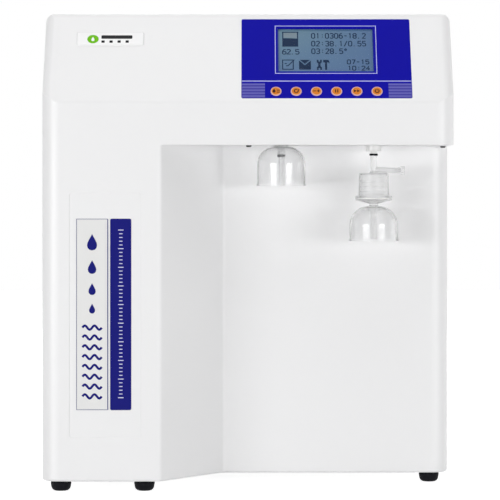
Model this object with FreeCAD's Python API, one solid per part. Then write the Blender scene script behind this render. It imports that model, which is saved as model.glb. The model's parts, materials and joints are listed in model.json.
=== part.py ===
import FreeCAD, Part
import math
import os

from FreeCAD import Vector

# Bench-top ultrapure water system. Millimetres, +Z up, +X to the right seen from the front,
# the front faces -Y. The origin is the middle of the footprint, on the bench.
# "Depth" always means the distance behind the flat front plane of the cabinet.

# ---------------------------------------------------------------- driving dimensions
# Cabinet
body_width = 472.0
body_depth = 470.0
body_top = 551.0
foot_height = 12.5
wall = 4.0                  # moulded front shell
sheet = 2.0                 # folded sheet metal
seam = 1.5                  # gap between neighbouring covers
clearance = 0.3             # gap between pieces of different bodies
snug = 0.1                  # gap of a piece that sits in its own seat
running = 0.06              # radial gap of a shaft or pin that turns

# Front shell
shell_depth = 150.0
bay_ceiling = 397.0         # underside of the head above the dispensing bay
bend_height = 446.0         # where the upright band turns into the slope
slope_angle = 34.0          # slope from the vertical
recess_depth = 98.0         # how far the bay panel stands behind the front plane
column_width = 136.0        # flat front of the left column
diagonal_run = 71.0         # sideways run of the column's oblique face
corner_radius = 20.0
nose_radius = 8.0
bay_corner_radius = 6.0
crown_radius = 11.0
brow_radius = 10.0
bend_radius = 8.0
bottom_radius = 3.0

# Control panel on the slope; "rise" is measured up the slope from the bend
overlay_left = -7.5
overlay_width = 195.4
overlay_rise = 4.8
overlay_length = 114.0
overlay_thickness = 0.5
overlay_corner = 2.0
window_left = 34.2
window_width = 111.2
window_rise = 42.3
window_length = 63.4
window_thickness = 2.0
key_first_x = 32.1
key_pitch = 23.12
key_rise = 14.65
key_count = 6
key_diameter = 12.9
key_proud = 0.9             # height of a key above the overlay
key_travel = 0.5
key_gap = 0.2               # gap round a key in its hole
key_flange = 1.4            # extra radius of the flange behind the panel
key_flange_thickness = 1.2
board_thickness = 1.6
board_margin = 9.0
post_diameter = 7.0
lcd_module_margin = 7.0
lcd_module_thickness = 9.0
switch_size = 6.0
panel_plug_x = 60.0
panel_plug_rise = 78.0
panel_plug_height = 5.0

# Badge on the slope and label on the column
badge_side_gap = 37.5       # left side of the cabinet to the badge
badge_width = 78.0
badge_rise = 79.7
badge_length = 20.8
badge_thickness = 1.6
badge_corner = 2.0
label_recess_side_gap = 32.4
label_recess_width = 81.2
label_recess_bottom = 62.8
label_recess_height = 279.0
label_recess_depth = 0.9
label_recess_corner = 3.0
label_recess_edge = 0.6
label_side_gap = 39.8
label_width = 63.4
label_bottom = 93.9
label_height = 219.0
label_thickness = 0.4
label_corner = 1.2

# Outlets under the head
outlet_depth = 50.0
left_outlet_x = 38.6
right_outlet_x = 145.7
bell_radius = 28.0
bell_wall = 1.8
bell_height = 46.7
left_bell_crown = 20.5      # radius of the bell's rounded crown
filter_bell_crown = 26.5
bell_lip = 1.0              # flare of the rim
nozzle_flange_diameter = 16.0
nozzle_flange_height = 1.0
spigot_length = 10.0        # spigot above its lock nut
collar_edge = 0.8
stem_diameter = 7.5
stem_bore = 4.0
spigot_diameter = 12.0      # part of an outlet that passes the ceiling
nut_diameter = 20.0
nut_height = 7.0
ring_diameter = 9.8
ring_height = 2.4
ring_edge = 0.6
left_ring_drop = 10.2       # ceiling to the top of the left ring
collar_diameter = 17.7
collar_height = 6.5
right_ring_drop = 8.8
filter_top_drop = 32.2      # ceiling to the top of the capsule filter
filter_diameter = 35.1
filter_upper_height = 26.1
filter_flange_diameter = 42.4
filter_flange_height = 5.4
filter_cone_height = 4.0
filter_cone_inset = 2.2     # edge of the flange to the cone below it
filter_neck_diameter = 9.8
filter_neck_height = 5.2
filter_hub_diameter = 14.3
filter_hub_height = 7.0
filter_wall = 1.6
filter_edge = 0.8
membrane_thickness = 1.0
filter_bell_height = 40.7
filter_bell_drop = 110.5    # ceiling to the rim of the filter's bell
vent_drop = 28.8            # ceiling to the axis of the vent arm
vent_arm_diameter = 7.4
vent_arm_reach = 31.2
vent_knob_diameter = 10.2
vent_knob_length = 4.8
vent_pin_diameter = 3.6
vent_pin_length = 9.0
vent_grip_cut = 2.0
screw_diameter = 6.4
screw_proud = 2.0
left_screw_x = 1.0
left_screw_depth = 40.0
right_screw_inset = 7.0
right_screw_depth = 92.0

# Side doors
door_thickness = 18.0
door_skin = 3.0
door_rim = 14.0             # solid rim round the door's pocket
plinth_height = 6.0
cover_skirt = 30.0
cover_wall = 2.5
cover_back_radius = 6.0
hinge_pin_diameter = 6.0
hinge_pin_reach = 14.0      # length of a pin inside the door
hinge_bush_wall = 1.5
hinge_bracket_thickness = 3.0
pull_height = 90.0
pull_width = 12.0
pull_depth = 9.0
pull_inset = 4.7            # finger pull behind the door's front edge
louvre_count = 7
louvre_pitch = 16.0
louvre_length = 120.0
louvre_height = 4.0

# Frame
post_size = 20.0
post_wall = 2.0
rail_height = 20.0
plate_thickness = 3.0
tray_rim = 20.0
tab_height = 30.0
tab_thickness = 4.0

# Feet
foot_top_diameter = 24.0
foot_bottom_diameter = 20.8
foot_edge_radius = 6.0
foot_inset = 25.0           # foot axis behind the face above it
left_foot_inset = 21.1
column_foot_spacing = 95.9
right_foot_inset = 21.5
foot_screw_diameter = 4.0
foot_screw_head = 8.0

# Back
rear_reach = 24.0           # tube fittings behind the back panel
port_count = 3
port_pitch = 34.0
port_side_gap = 86.0        # left side of the cabinet to the first port
port_z = 74.0
port_body_diameter = 18.0
port_collar_diameter = 14.0
port_flange = 6.0
port_thread_diameter = 12.0
port_inside = 20.0
tube_diameter = 6.35
port_bore_gap = 0.1         # bore larger than the tube, across
port_bore_depth = 17.0
vent_slot_count = 9
vent_slot_pitch = 12.0
vent_slot_length = 150.0
vent_slot_height = 4.0
vent_slot_z = 400.0
inlet_side_gap = 86.0       # right side of the cabinet to the inlet's centre
inlet_z = 76.0
inlet_flange_width = 34.0
inlet_flange_height = 58.0
inlet_flange_thickness = 3.0
inlet_body_width = 28.0
inlet_body_height = 48.0
inlet_body_depth = 26.0
socket_width = 24.6
socket_height = 16.6
socket_depth = 17.0
pin_recess = 5.5
pin_width = 2.0
pin_height = 5.0
pin_spacing = 14.0
pin_offset = 2.2
socket_drop = 13.0          # socket centre below the inlet's centre
rocker_rise = 12.0          # rocker centre above the inlet's centre
rocker_radius = 9.6
rocker_width = 12.6
rocker_swing = 20.0
rocker_pivot_depth = 3.0
rocker_stub_radius = 1.5
rocker_stub_length = 1.2
panel_screw_diameter = 4.0
panel_screw_head = 7.0
panel_screw_head_height = 1.8

# Water path inside
prefilter_diameter = 64.0
prefilter_height = 250.0
prefilter_pitch = 76.0
prefilter_side_gap = 86.0
prefilter_depth = 200.0
manifold_bottom = 430.0
manifold_height = 34.0
manifold_margin = 6.0
cartridge_neck_diameter = 30.0
cartridge_neck = 12.0
cartridge_dome = 10.0
polisher_diameter = 82.0
polisher_height = 290.0
polisher_pitch = 92.0
polisher_side_gap = 96.0
polisher_depth = 205.0
bracket_arm = 16.0
vessel_diameter = 84.0
vessel_wall = 4.0
vessel_height = 330.0
vessel_bottom = 92.0
vessel_back_gap = 26.0      # vessel to the back panel
vessel_standoff = 16.0      # mounting plate to the vessel
membrane_diameter = 46.0
lamp_chamber_diameter = 60.0
lamp_chamber_wall = 1.5
lamp_chamber_height = 300.0
lamp_chamber_bottom = 120.0
lamp_chamber_back_gap = 38.0
lamp_diameter = 19.0
clip_height = 18.0
clip_wall = 3.0
clip_shares = (0.17, 0.67)  # clips along the height of what they hold
motor_diameter = 60.0
motor_length = 76.0
motor_wall = 2.5
rotor_diameter = 40.0
rotor_length = 44.0
shaft_diameter = 8.0
shaft_flat = 2.7            # flat on the shaft's end, above its axis
bearing_diameter = 22.0
bearing_width = 7.0
pump_side_gap = 86.0
pump_back_gap = 62.0        # motor to the back panel
pump_head_size = 62.0
pump_head_length = 44.0
pump_base_height = 8.0
pump_foot_width = 41.0
valve_width = 30.0
valve_length = 42.0
valve_height = 54.0
valve_depth = 200.0
valve_z = 60.0
supply_width = 100.0
supply_length = 120.0
supply_height = 46.0
supply_foot_gap = 13.5      # power supply to the axis of the foot beside it
supply_back_gap = 2.0       # power supply to the power inlet
control_board_lamp_gap = 5.0
control_board_height = 110.0
control_board_depth = 215.0
control_board_z = 300.0
control_board_standoff = 8.0
chip_height = 6.0
chip_columns = 3
chip_rows = 2
nipple_diameter = 10.0
nipple_length = 9.0
vessel_side_nipple = 20.0
lamp_side_run = 32.0
pump_nipple_spacing = 30.0
tube_bend = 16.0            # radius of a bend in the tubing
tube_share = 0.45           # most of a run that one bend may take
tube_rise = 26.0
tube_lead = 18.0
tube_side = 14.0
tube_head_run = 40.0
drain_z = 45.0
valve_tube_run = 40.0
cable_diameter = 5.0
cable_z = 360.0
cable_high = 450.0
cable_front = 90.0

# ---------------------------------------------------------------- places worked out from them
half_width = body_width / 2
front_y = -(body_depth + rear_reach) / 2
slope = math.radians(slope_angle)
slope_up = Vector(0, math.sin(slope), math.cos(slope))
slope_out = Vector(0, -math.cos(slope), math.sin(slope))
slope_run = (body_top - bend_height) * math.tan(slope)
column_edge_x = -half_width + column_width
badge_left = -half_width + badge_side_gap
label_recess_left = -half_width + label_recess_side_gap
label_left = -half_width + label_side_gap
bay_left_x = column_edge_x + diagonal_run
panel_depth = body_depth - sheet
floor_top = foot_height + sheet
door_inner_x = half_width - door_thickness
door_front_depth = shell_depth + seam
door_back_depth = panel_depth - seam
door_bottom = foot_height + plinth_height + seam
cover_bottom = body_top - cover_skirt
door_top = cover_bottom - seam
pivot_x = half_width - door_thickness / 2
pivot_depth = door_back_depth - door_thickness / 2
post_outer_x = door_inner_x - sheet - seam
post_centre_x = post_outer_x - post_size / 2
rail_top = body_top - cover_wall
plate_front_depth = shell_depth + post_size / 2
frame_back = body_depth - max(sheet, cover_wall)
plate_back_depth = frame_back - post_size / 2
tab_heights = [foot_height + 2 * tab_height, bay_ceiling - 2 * tab_height]
foot_places = [
    (-half_width + left_foot_inset, foot_inset),
    (-half_width + left_foot_inset + column_foot_spacing, foot_inset),
    (half_width - right_foot_inset, recess_depth + foot_inset),
    (-post_outer_x + 2 * post_size, panel_depth - 2 * foot_inset),
    (post_outer_x - 2 * post_size, panel_depth - 2 * foot_inset),
]
ceiling_screws = [(left_screw_x, left_screw_depth), (half_width - right_screw_inset, right_screw_depth)]
port_first_x = -half_width + port_side_gap
inlet_x = half_width - inlet_side_gap
port_places = [port_first_x + port_pitch * index for index in range(port_count)]
panel_screw_places = [(side * post_centre_x, z)
                      for side in (-1, 1)
                      for z in (foot_height + 2 * tab_height, body_top / 2, door_top - tab_height)]
key_radius = key_diameter / 2 - key_gap
key_back = wall + clearance + key_flange_thickness
key_places = [key_first_x + key_pitch * index for index in range(key_count)]
board_front = wall + lcd_module_thickness
board_left = window_left - lcd_module_margin - board_margin
board_right = window_left + window_width + lcd_module_margin + board_margin
board_low = key_rise - key_diameter
board_high = window_rise + window_length + lcd_module_margin
post_inset = post_diameter / 2 + seam / 2
plug_back = board_front + board_thickness + panel_plug_height
spigot_top = bay_ceiling + wall + nut_height + spigot_length
socket_z = inlet_z - socket_drop
rocker_z = inlet_z + rocker_rise
rocker_depth = body_depth + inlet_flange_thickness - rocker_pivot_depth
prefilter_x = -half_width + prefilter_side_gap
prefilter_depths = [prefilter_depth, prefilter_depth + prefilter_pitch]
polisher_x = half_width - polisher_side_gap
polisher_depths = [polisher_depth, polisher_depth + polisher_pitch]
vessel_depth = panel_depth - vessel_back_gap - vessel_diameter / 2
vessel_x = -(plate_thickness / 2 + vessel_standoff + vessel_diameter / 2)
vessel_side_x = vessel_x - vessel_side_nipple
lamp_chamber_depth = panel_depth - lamp_chamber_back_gap - lamp_chamber_diameter / 2
lamp_x = plate_thickness / 2 + vessel_standoff + lamp_chamber_diameter / 2
lamp_side_x = lamp_x + lamp_side_run
pump_x = -half_width + pump_side_gap
pump_depth = panel_depth - pump_back_gap - motor_length
pump_axis_z = floor_top + pump_base_height + pump_head_size / 2
pump_nipples = [pump_x - pump_nipple_spacing / 2, pump_x + pump_nipple_spacing / 2]
supply_x = foot_places[-1][0] - supply_foot_gap - supply_width / 2
supply_depth = body_depth - sheet - inlet_body_depth - supply_back_gap - supply_length
control_board_length = (lamp_chamber_depth - lamp_chamber_diameter / 2 - control_board_lamp_gap
                        - control_board_depth)
valve_x = -(plate_thickness + valve_width) / 2
valve_top = valve_z + valve_height + nipple_length
valve_back = valve_depth + valve_tube_run
board_posts = [(x, rise)
               for x in (board_left + post_inset, board_right - post_inset)
               for rise in (key_rise + key_diameter / 2 + key_flange + post_diameter / 2 + seam,
                            board_high - post_inset)]
parts = {}


# ---------------------------------------------------------------- helpers
def at(x, depth, z):
    """Point from its place across, behind the front plane and above the bench."""
    return Vector(x, front_y + depth, z)


def on_slope(x, rise, out=0.0):
    """Point on the sloping face, `out` in front of its surface."""
    return at(x, 0, bend_height) + slope_up * rise + slope_out * out


def rounded_face(corners, place):
    """Flat face through (u, v, radius) corners, each rounded by its radius."""
    points = [place(u, v) for u, v, radius in corners]
    edges = []
    previous_end = None
    first_start = None
    for index, (u, v, radius) in enumerate(corners):
        corner = points[index]
        back = (points[index - 1] - corner).normalize()
        ahead = (points[(index + 1) % len(points)] - corner).normalize()
        start = corner
        end = corner
        if radius > 0:
            half_angle = back.getAngle(ahead) / 2
            setback = radius / math.tan(half_angle)
            start = corner + back * setback
            end = corner + ahead * setback
            centre = corner + (back + ahead).normalize() * (radius / math.sin(half_angle))
            middle = centre + (corner - centre).normalize() * radius
        if previous_end is not None:
            edges.append(Part.LineSegment(previous_end, start).toShape())
        else:
            first_start = start
        if radius > 0:
            edges.append(Part.Arc(start, middle, end).toShape())
        previous_end = end
    edges.append(Part.LineSegment(previous_end, first_start).toShape())
    return Part.Face(Part.Wire(edges))


def inset_face(face, inset):
    """The same outline, `inset` smaller all round."""
    if inset == 0:
        return face
    return face.makeOffset2D(-inset)


def block(x0, x1, depth0, depth1, z0, z1):
    """Upright box between two corners."""
    return Part.makeBox(x1 - x0, depth1 - depth0, z1 - z0, at(x0, depth0, z0))


def rounded_block(x0, x1, depth0, depth1, z0, z1, radius):
    """Upright box whose four vertical edges are rounded."""
    corners = [(x0, depth0, radius), (x1, depth0, radius), (x1, depth1, radius), (x0, depth1, radius)]
    face = rounded_face(corners, lambda x, depth: at(x, depth, z0))
    return face.extrude(Vector(0, 0, z1 - z0))


def rod(x, depth, z0, z1, diameter):
    """Upright cylinder."""
    return Part.makeCylinder(diameter / 2, z1 - z0, at(x, depth, z0))


def rod_back(x, z, depth0, depth1, diameter):
    """Cylinder that runs from front to back."""
    return Part.makeCylinder(diameter / 2, depth1 - depth0, at(x, depth0, z), Vector(0, 1, 0))


def rod_across(depth, z, x0, x1, diameter):
    """Cylinder that runs from left to right."""
    return Part.makeCylinder(diameter / 2, x1 - x0, at(x0, depth, z), Vector(1, 0, 0))


def slope_rod(x, rise, out0, out1, diameter):
    """Cylinder that stands square to the slope."""
    return Part.makeCylinder(diameter / 2, out1 - out0, on_slope(x, rise, out0), slope_out)


def slope_block(x0, x1, rise0, rise1, out0, out1, radius=0.0):
    """Box laid on the slope, with its four outline corners rounded."""
    corners = [(x0, rise0, radius), (x1, rise0, radius), (x1, rise1, radius), (x0, rise1, radius)]
    face = rounded_face(corners, lambda x, rise: on_slope(x, rise, out0))
    return face.extrude(slope_out * (out1 - out0))


def turned(x, depth, corners):
    """Solid of revolution about an upright axis; corners are (radius, z, rounding)."""
    face = rounded_face(corners, lambda radius, z: at(x + radius, depth, z))
    return face.revolve(at(x, depth, 0), Vector(0, 0, 1), 360)


def keep(name, shape):
    """Hold a finished sub-part; a list becomes one node of separate solids."""
    if isinstance(shape, list):
        shape = Part.makeCompound(shape)
    parts[name] = shape


# ---------------------------------------------------------------- front shell
def lower_plan(back):
    """Cabinet below the head, seen from above, reaching `back` behind the front plane."""
    return rounded_face([
        (-half_width, 0, corner_radius),
        (column_edge_x, 0, nose_radius),
        (bay_left_x, recess_depth, bay_corner_radius),
        (half_width, recess_depth, corner_radius),
        (half_width, back, 0),
        (-half_width, back, 0),
    ], lambda x, depth: at(x, depth, 0))


def head_form(back, inset):
    """Head with its upright band and slope; every face moved in by `inset`."""
    profile = rounded_face([
        (0, bay_ceiling, 0),
        (0, bend_height, bend_radius),
        (slope_run, body_top, brow_radius),
        (back, body_top, 0),
        (back, bay_ceiling, 0),
    ], lambda depth, z: at(-half_width + inset, depth, z))
    head = inset_face(profile, inset).extrude(Vector(body_width - 2 * inset, 0, 0))

    plan = rounded_face([
        (-half_width, 0, corner_radius),
        (half_width, 0, corner_radius),
        (half_width, back, 0),
        (-half_width, back, 0),
    ], lambda x, depth: at(x, depth, 0))
    upright = inset_face(plan, inset).extrude(Vector(0, 0, 2 * body_top))

    front = rounded_face([
        (-half_width, 0, 0),
        (-half_width, body_top, crown_radius),
        (half_width, body_top, crown_radius),
        (half_width, 0, 0),
    ], lambda x, z: at(x, 0, z))
    crown = inset_face(front, inset).extrude(Vector(0, back, 0))

    across = rounded_face([
        (-half_width, -body_depth, 0),
        (-half_width, 0, crown_radius),
        (half_width, 0, crown_radius),
        (half_width, -body_depth, 0),
    ], lambda x, out: on_slope(x, -body_depth, out))
    shoulders = inset_face(across, inset).extrude(slope_up * (3 * body_depth))
    return head.common(upright).common(crown).common(shoulders)


def make_front_shell():
    outer = lower_plan(shell_depth).extrude(Vector(0, 0, bay_ceiling + wall - foot_height))
    outer.translate(Vector(0, 0, foot_height))
    back_y = front_y + shell_depth
    bottom = [edge for edge in outer.Edges
              if edge.BoundBox.ZMax < foot_height + wall and edge.BoundBox.YMin < back_y - wall]
    outer = outer.makeFillet(bottom_radius, bottom)
    outer = outer.fuse(head_form(shell_depth, 0)).removeSplitter()

    open_back = shell_depth + 4 * wall
    lower_hollow = inset_face(lower_plan(open_back), wall).extrude(Vector(0, 0, bay_ceiling + 2 * wall))
    hollow = lower_hollow.fuse(head_form(open_back, wall))
    shell = outer.cut(hollow)

    # seat of the control overlay, window and key holes
    shell = shell.cut(slope_block(
        overlay_left - snug, overlay_left + overlay_width + snug,
        overlay_rise - snug, overlay_rise + overlay_length + snug,
        -overlay_thickness, overlay_thickness, overlay_corner))
    shell = shell.cut(slope_block(
        window_left - snug, window_left + window_width + snug,
        window_rise - snug, window_rise + window_length + snug,
        -2 * wall, wall))
    for x in key_places:
        shell = shell.cut(slope_rod(x, key_rise, -2 * wall, wall, key_diameter))

    # posts that carry the display board
    for x, rise in board_posts:
        shell = shell.fuse(slope_rod(x, rise, -board_front, -wall / 2, post_diameter))

    # shallow seat of the side label
    seat = rounded_face([
        (0, 0, label_recess_corner),
        (label_recess_width, 0, label_recess_corner),
        (label_recess_width, label_recess_height, label_recess_corner),
        (0, label_recess_height, label_recess_corner),
    ], lambda u, v: at(label_recess_left + u, 0, label_recess_bottom + v))
    seat = seat.extrude(Vector(0, label_recess_depth, 0))
    rim = seat.BoundBox
    shell = shell.cut(seat)
    edges = [edge for edge in shell.Edges
             if edge.BoundBox.YMax < front_y + label_recess_depth / 2
             and rim.XMin - clearance < edge.BoundBox.XMin and edge.BoundBox.XMax < rim.XMax + clearance
             and rim.ZMin - clearance < edge.BoundBox.ZMin and edge.BoundBox.ZMax < rim.ZMax + clearance]
    shell = shell.makeFillet(label_recess_edge, edges)

    # holes for the outlets and the two screws under the head
    for x in (left_outlet_x, right_outlet_x):
        hole = spigot_diameter + 2 * snug
        shell = shell.cut(rod(x, outlet_depth, bay_ceiling - wall, bay_ceiling + 2 * wall, hole))
    for x, depth in ceiling_screws:
        shell = shell.cut(rod(x, depth, bay_ceiling - wall, bay_ceiling + 2 * wall, screw_diameter / 2))

    # tabs that reach behind the covers to the front posts
    for side in (-1, 1):
        for z in tab_heights:
            x0, x1 = sorted((side * (half_width - wall / 2), side * (post_outer_x - post_size)))
            tab = block(x0, x1, shell_depth - tab_thickness, shell_depth, z, z + tab_height)
            hole = rod_back(side * post_centre_x, z + tab_height / 2, shell_depth - tab_thickness, body_depth,
                            panel_screw_diameter)
            shell = shell.fuse(tab).cut(hole)
    keep("front_shell", shell.removeSplitter())


# ---------------------------------------------------------------- covers and frame
def cover_form(inset):
    """Top cover: rounded along both sides and along the back edge."""
    front = rounded_face([
        (-half_width, cover_bottom, 0),
        (-half_width, body_top, crown_radius),
        (half_width, body_top, crown_radius),
        (half_width, cover_bottom, 0),
    ], lambda x, z: at(x, door_front_depth, z))
    span = inset_face(front, inset).extrude(Vector(0, body_depth - door_front_depth, 0))
    side = rounded_face([
        (door_front_depth, cover_bottom, 0),
        (door_front_depth, body_top, 0),
        (body_depth, body_top, cover_back_radius),
        (body_depth, cover_bottom, 0),
    ], lambda depth, z: at(-half_width, depth, z))
    return span.common(inset_face(side, inset).extrude(Vector(body_width, 0, 0)))


def make_top_cover():
    hollow = cover_form(cover_wall)
    below = hollow.copy()
    below.translate(Vector(0, 0, -2 * cover_wall))
    ahead = hollow.fuse(below)
    front_way = ahead.copy()
    front_way.translate(Vector(0, -2 * cover_wall, 0))
    keep("top_cover", cover_form(0).cut(ahead.fuse(front_way)))


def make_base_tray():
    inner = inset_face(lower_plan(shell_depth + 4 * wall), wall + snug)
    floor = inner.extrude(Vector(0, 0, sheet))
    floor.translate(Vector(0, 0, foot_height))
    floor = floor.common(block(-half_width, half_width, 0, shell_depth, 0, body_top))
    rear = block(-half_width, half_width, door_front_depth, panel_depth, foot_height, floor_top)
    bridge = block(-post_outer_x, post_outer_x, shell_depth - sheet, door_front_depth + sheet,
                   foot_height, floor_top)
    tray = floor.fuse(rear).fuse(bridge)
    for side in (-1, 1):
        x0, x1 = sorted((side * door_inner_x, side * half_width))
        tray = tray.fuse(block(x0, x1, door_front_depth, panel_depth,
                               foot_height, foot_height + plinth_height))
        x0, x1 = sorted((side * post_outer_x, side * (post_outer_x + sheet)))
        tray = tray.fuse(block(x0, x1, door_front_depth, panel_depth, foot_height, foot_height + tray_rim))
        tray = tray.cut(rod(side * pivot_x, pivot_depth, 0, foot_height + tray_rim, hinge_pin_diameter))
    for x, depth in foot_places:
        tray = tray.cut(rod(x, depth, 0, foot_height + tray_rim, foot_screw_diameter))
    keep("base_tray", tray.removeSplitter())


def make_feet():
    radius = foot_top_diameter / 2
    low = foot_bottom_diameter / 2
    feet = []
    screws = []
    for x, depth in foot_places:
        foot = turned(x, depth, [(0, 0, 0), (low, 0, foot_edge_radius), (radius, foot_height, 0),
                                 (0, foot_height, 0)])
        foot = foot.cut(rod(x, depth, foot_height / 2, foot_height, foot_screw_diameter))
        feet.append(foot)
        shank = rod(x, depth, foot_height / 2 + snug, floor_top + snug, foot_screw_diameter)
        head = rod(x, depth, floor_top, floor_top + sheet, foot_screw_head)
        screws.append(shank.fuse(head))
    keep("rubber_feet", feet)
    keep("foot_screws", screws)


def upright(side, depth, top):
    """Square tube post whose back face is at `depth`; the inside is hollow."""
    x0, x1 = sorted((side * post_outer_x, side * (post_outer_x - post_size)))
    post = block(x0, x1, depth - post_size, depth, floor_top, top)
    return post.cut(block(x0 + post_wall, x1 - post_wall, depth - post_size + post_wall,
                          depth - post_wall, floor_top, top))


def hinge_bracket(side):
    """Plate on a rear post that holds the upper pivot pin of a door."""
    x0, x1 = sorted((side * (half_width - cover_wall - snug), side * post_outer_x))
    bracket = block(x0, x1, frame_back - post_size, frame_back - snug,
                    cover_bottom, cover_bottom + hinge_bracket_thickness)
    return bracket.cut(rod(side * pivot_x, pivot_depth, cover_bottom, body_top, hinge_pin_diameter))


def make_frame():
    top = rail_top - rail_height
    posts = []
    for side in (-1, 1):
        posts.append(upright(side, shell_depth + post_size, top))
        posts.append(upright(side, frame_back, top).fuse(hinge_bracket(side)))
    keep("frame_posts", posts)

    front = shell_depth + post_size
    back = frame_back - post_size
    rails = [
        block(-post_outer_x, post_outer_x, shell_depth + seam, front, top, rail_top),
        block(-post_outer_x, post_outer_x, back, frame_back - cover_back_radius, top, rail_top),
        block(-post_outer_x, post_size - post_outer_x, front, back, top, rail_top),
        block(post_outer_x - post_size, post_outer_x, front, back, top, rail_top),
    ]
    keep("frame_rails", rails)
    keep("mounting_plate", block(-plate_thickness / 2, plate_thickness / 2,
                                 plate_front_depth, plate_back_depth, floor_top, top))


def make_hinges():
    """Pivot pins in the post brackets and the tray, and the bushes that turn on them."""
    pins = []
    for side in (-1, 1):
        pins.append(rod(side * pivot_x, pivot_depth, door_top - hinge_pin_reach + seam,
                        cover_bottom + hinge_bracket_thickness, hinge_pin_diameter))
        pins.append(rod(side * pivot_x, pivot_depth, foot_height,
                        door_bottom + hinge_pin_reach - seam, hinge_pin_diameter))
    keep("hinge_pins", pins)

    for side, name in ((-1, "left_door_bushes"), (1, "right_door_bushes")):
        bushes = []
        for z0 in (door_bottom, door_top - hinge_pin_reach):
            outer = rod(side * pivot_x, pivot_depth, z0, z0 + hinge_pin_reach,
                        hinge_pin_diameter + 2 * running + 2 * hinge_bush_wall)
            bore = rod(side * pivot_x, pivot_depth, z0, z0 + hinge_pin_reach,
                       hinge_pin_diameter + 2 * running)
            bushes.append(outer.cut(bore))
        keep(name, bushes)


def make_door(side, name):
    """Side door: a tray with a solid rim, a pocket on its inner face and louvres."""
    outer_x = side * half_width
    inner_x = side * door_inner_x
    round_back = (door_thickness - seam / 2) / 2
    face = rounded_face([
        (outer_x, door_front_depth, door_skin),
        (inner_x, door_front_depth, 0),
        (inner_x, door_back_depth, round_back),
        (outer_x, door_back_depth, round_back),
    ], lambda x, depth: at(x, depth, door_bottom))
    door = face.extrude(Vector(0, 0, door_top - door_bottom))

    x0, x1 = sorted((side * (half_width - door_skin), side * (door_inner_x - seam)))
    pocket = block(x0, x1, door_front_depth + door_rim, pivot_depth - door_rim,
                   door_bottom + door_rim, door_top - door_rim)
    door = door.cut(pocket)

    # finger pull near the front edge
    pull_z = (door_bottom + door_top) / 2
    x0, x1 = sorted((side * (half_width - pull_depth), side * (half_width + seam)))
    door = door.cut(rounded_pull(x0, x1, pull_z))

    # louvres through the skin
    middle = (door_front_depth + pivot_depth) / 2
    x0, x1 = sorted((side * (half_width - 2 * door_skin), side * (half_width + seam)))
    for index in range(louvre_count):
        z0 = door_bottom + 2 * door_rim + index * louvre_pitch
        door = door.cut(block(x0, x1, middle - louvre_length / 2, middle + louvre_length / 2,
                              z0, z0 + louvre_height))

    bush = hinge_pin_diameter + 2 * running + 2 * hinge_bush_wall
    for z0 in (door_bottom, door_top - hinge_pin_reach):
        door = door.cut(rod(side * pivot_x, pivot_depth, z0, z0 + hinge_pin_reach, bush))
    keep(name, door)


def rounded_pull(x0, x1, z):
    """Pill-shaped cutter for the finger pull."""
    depth0 = door_front_depth + pull_inset
    depth1 = depth0 + pull_width
    radius = pull_width / 2 - snug
    face = rounded_face([
        (depth0, z - pull_height / 2, radius),
        (depth1, z - pull_height / 2, radius),
        (depth1, z + pull_height / 2, radius),
        (depth0, z + pull_height / 2, radius),
    ], lambda depth, height: at(x0, depth, height))
    return face.extrude(Vector(x1 - x0, 0, 0))


def make_back_panel():
    panel = block(-half_width, half_width, panel_depth, body_depth, foot_height, door_top)
    for index in range(vent_slot_count):
        z0 = vent_slot_z + index * vent_slot_pitch
        for side in (-1, 1):
            middle = side * (half_width - post_size) / 2
            panel = panel.cut(block(middle - vent_slot_length / 2, middle + vent_slot_length / 2,
                                    panel_depth, body_depth, z0, z0 + vent_slot_height))
    for x in port_places:
        panel = panel.cut(rod_back(x, port_z, panel_depth, body_depth, port_thread_diameter + 2 * snug))
    panel = panel.cut(block(inlet_x - inlet_body_width / 2 - snug, inlet_x + inlet_body_width / 2 + snug,
                            panel_depth, body_depth, inlet_z - inlet_body_height / 2 - snug,
                            inlet_z + inlet_body_height / 2 + snug))
    for x, z in panel_screw_places:
        panel = panel.cut(rod_back(x, z, panel_depth, body_depth, panel_screw_diameter))
    keep("back_panel", panel)


def pan_screw_back(x, z, tip_depth, seat_depth):
    """Pan-head screw that runs from front to back; its head lies beyond the seat."""
    shank = rod_back(x, z, min(tip_depth, seat_depth), max(tip_depth, seat_depth), panel_screw_diameter)
    outward = math.copysign(panel_screw_head_height, seat_depth - tip_depth)
    head = rod_back(x, z, min(seat_depth, seat_depth + outward), max(seat_depth, seat_depth + outward),
                    panel_screw_head)
    return shank.fuse(head)


def ceiling_screw(x, depth):
    """Button-head screw under the head of the cabinet."""
    low = bay_ceiling - screw_proud
    head = turned(x, depth, [(0, low, 0), (screw_diameter / 2, low, screw_proud / 2),
                             (screw_diameter / 2, bay_ceiling, 0), (0, bay_ceiling, 0)])
    return head.fuse(rod(x, depth, bay_ceiling, bay_ceiling + wall, screw_diameter / 2))


def make_cover_screws():
    screws = [pan_screw_back(x, z, panel_depth, body_depth) for x, z in panel_screw_places]
    for side in (-1, 1):
        for z in tab_heights:
            screws.append(pan_screw_back(side * post_centre_x, z + tab_height / 2,
                                         shell_depth, shell_depth - tab_thickness))
    screws += [ceiling_screw(x, depth) for x, depth in ceiling_screws]
    keep("cover_screws", screws)


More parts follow.
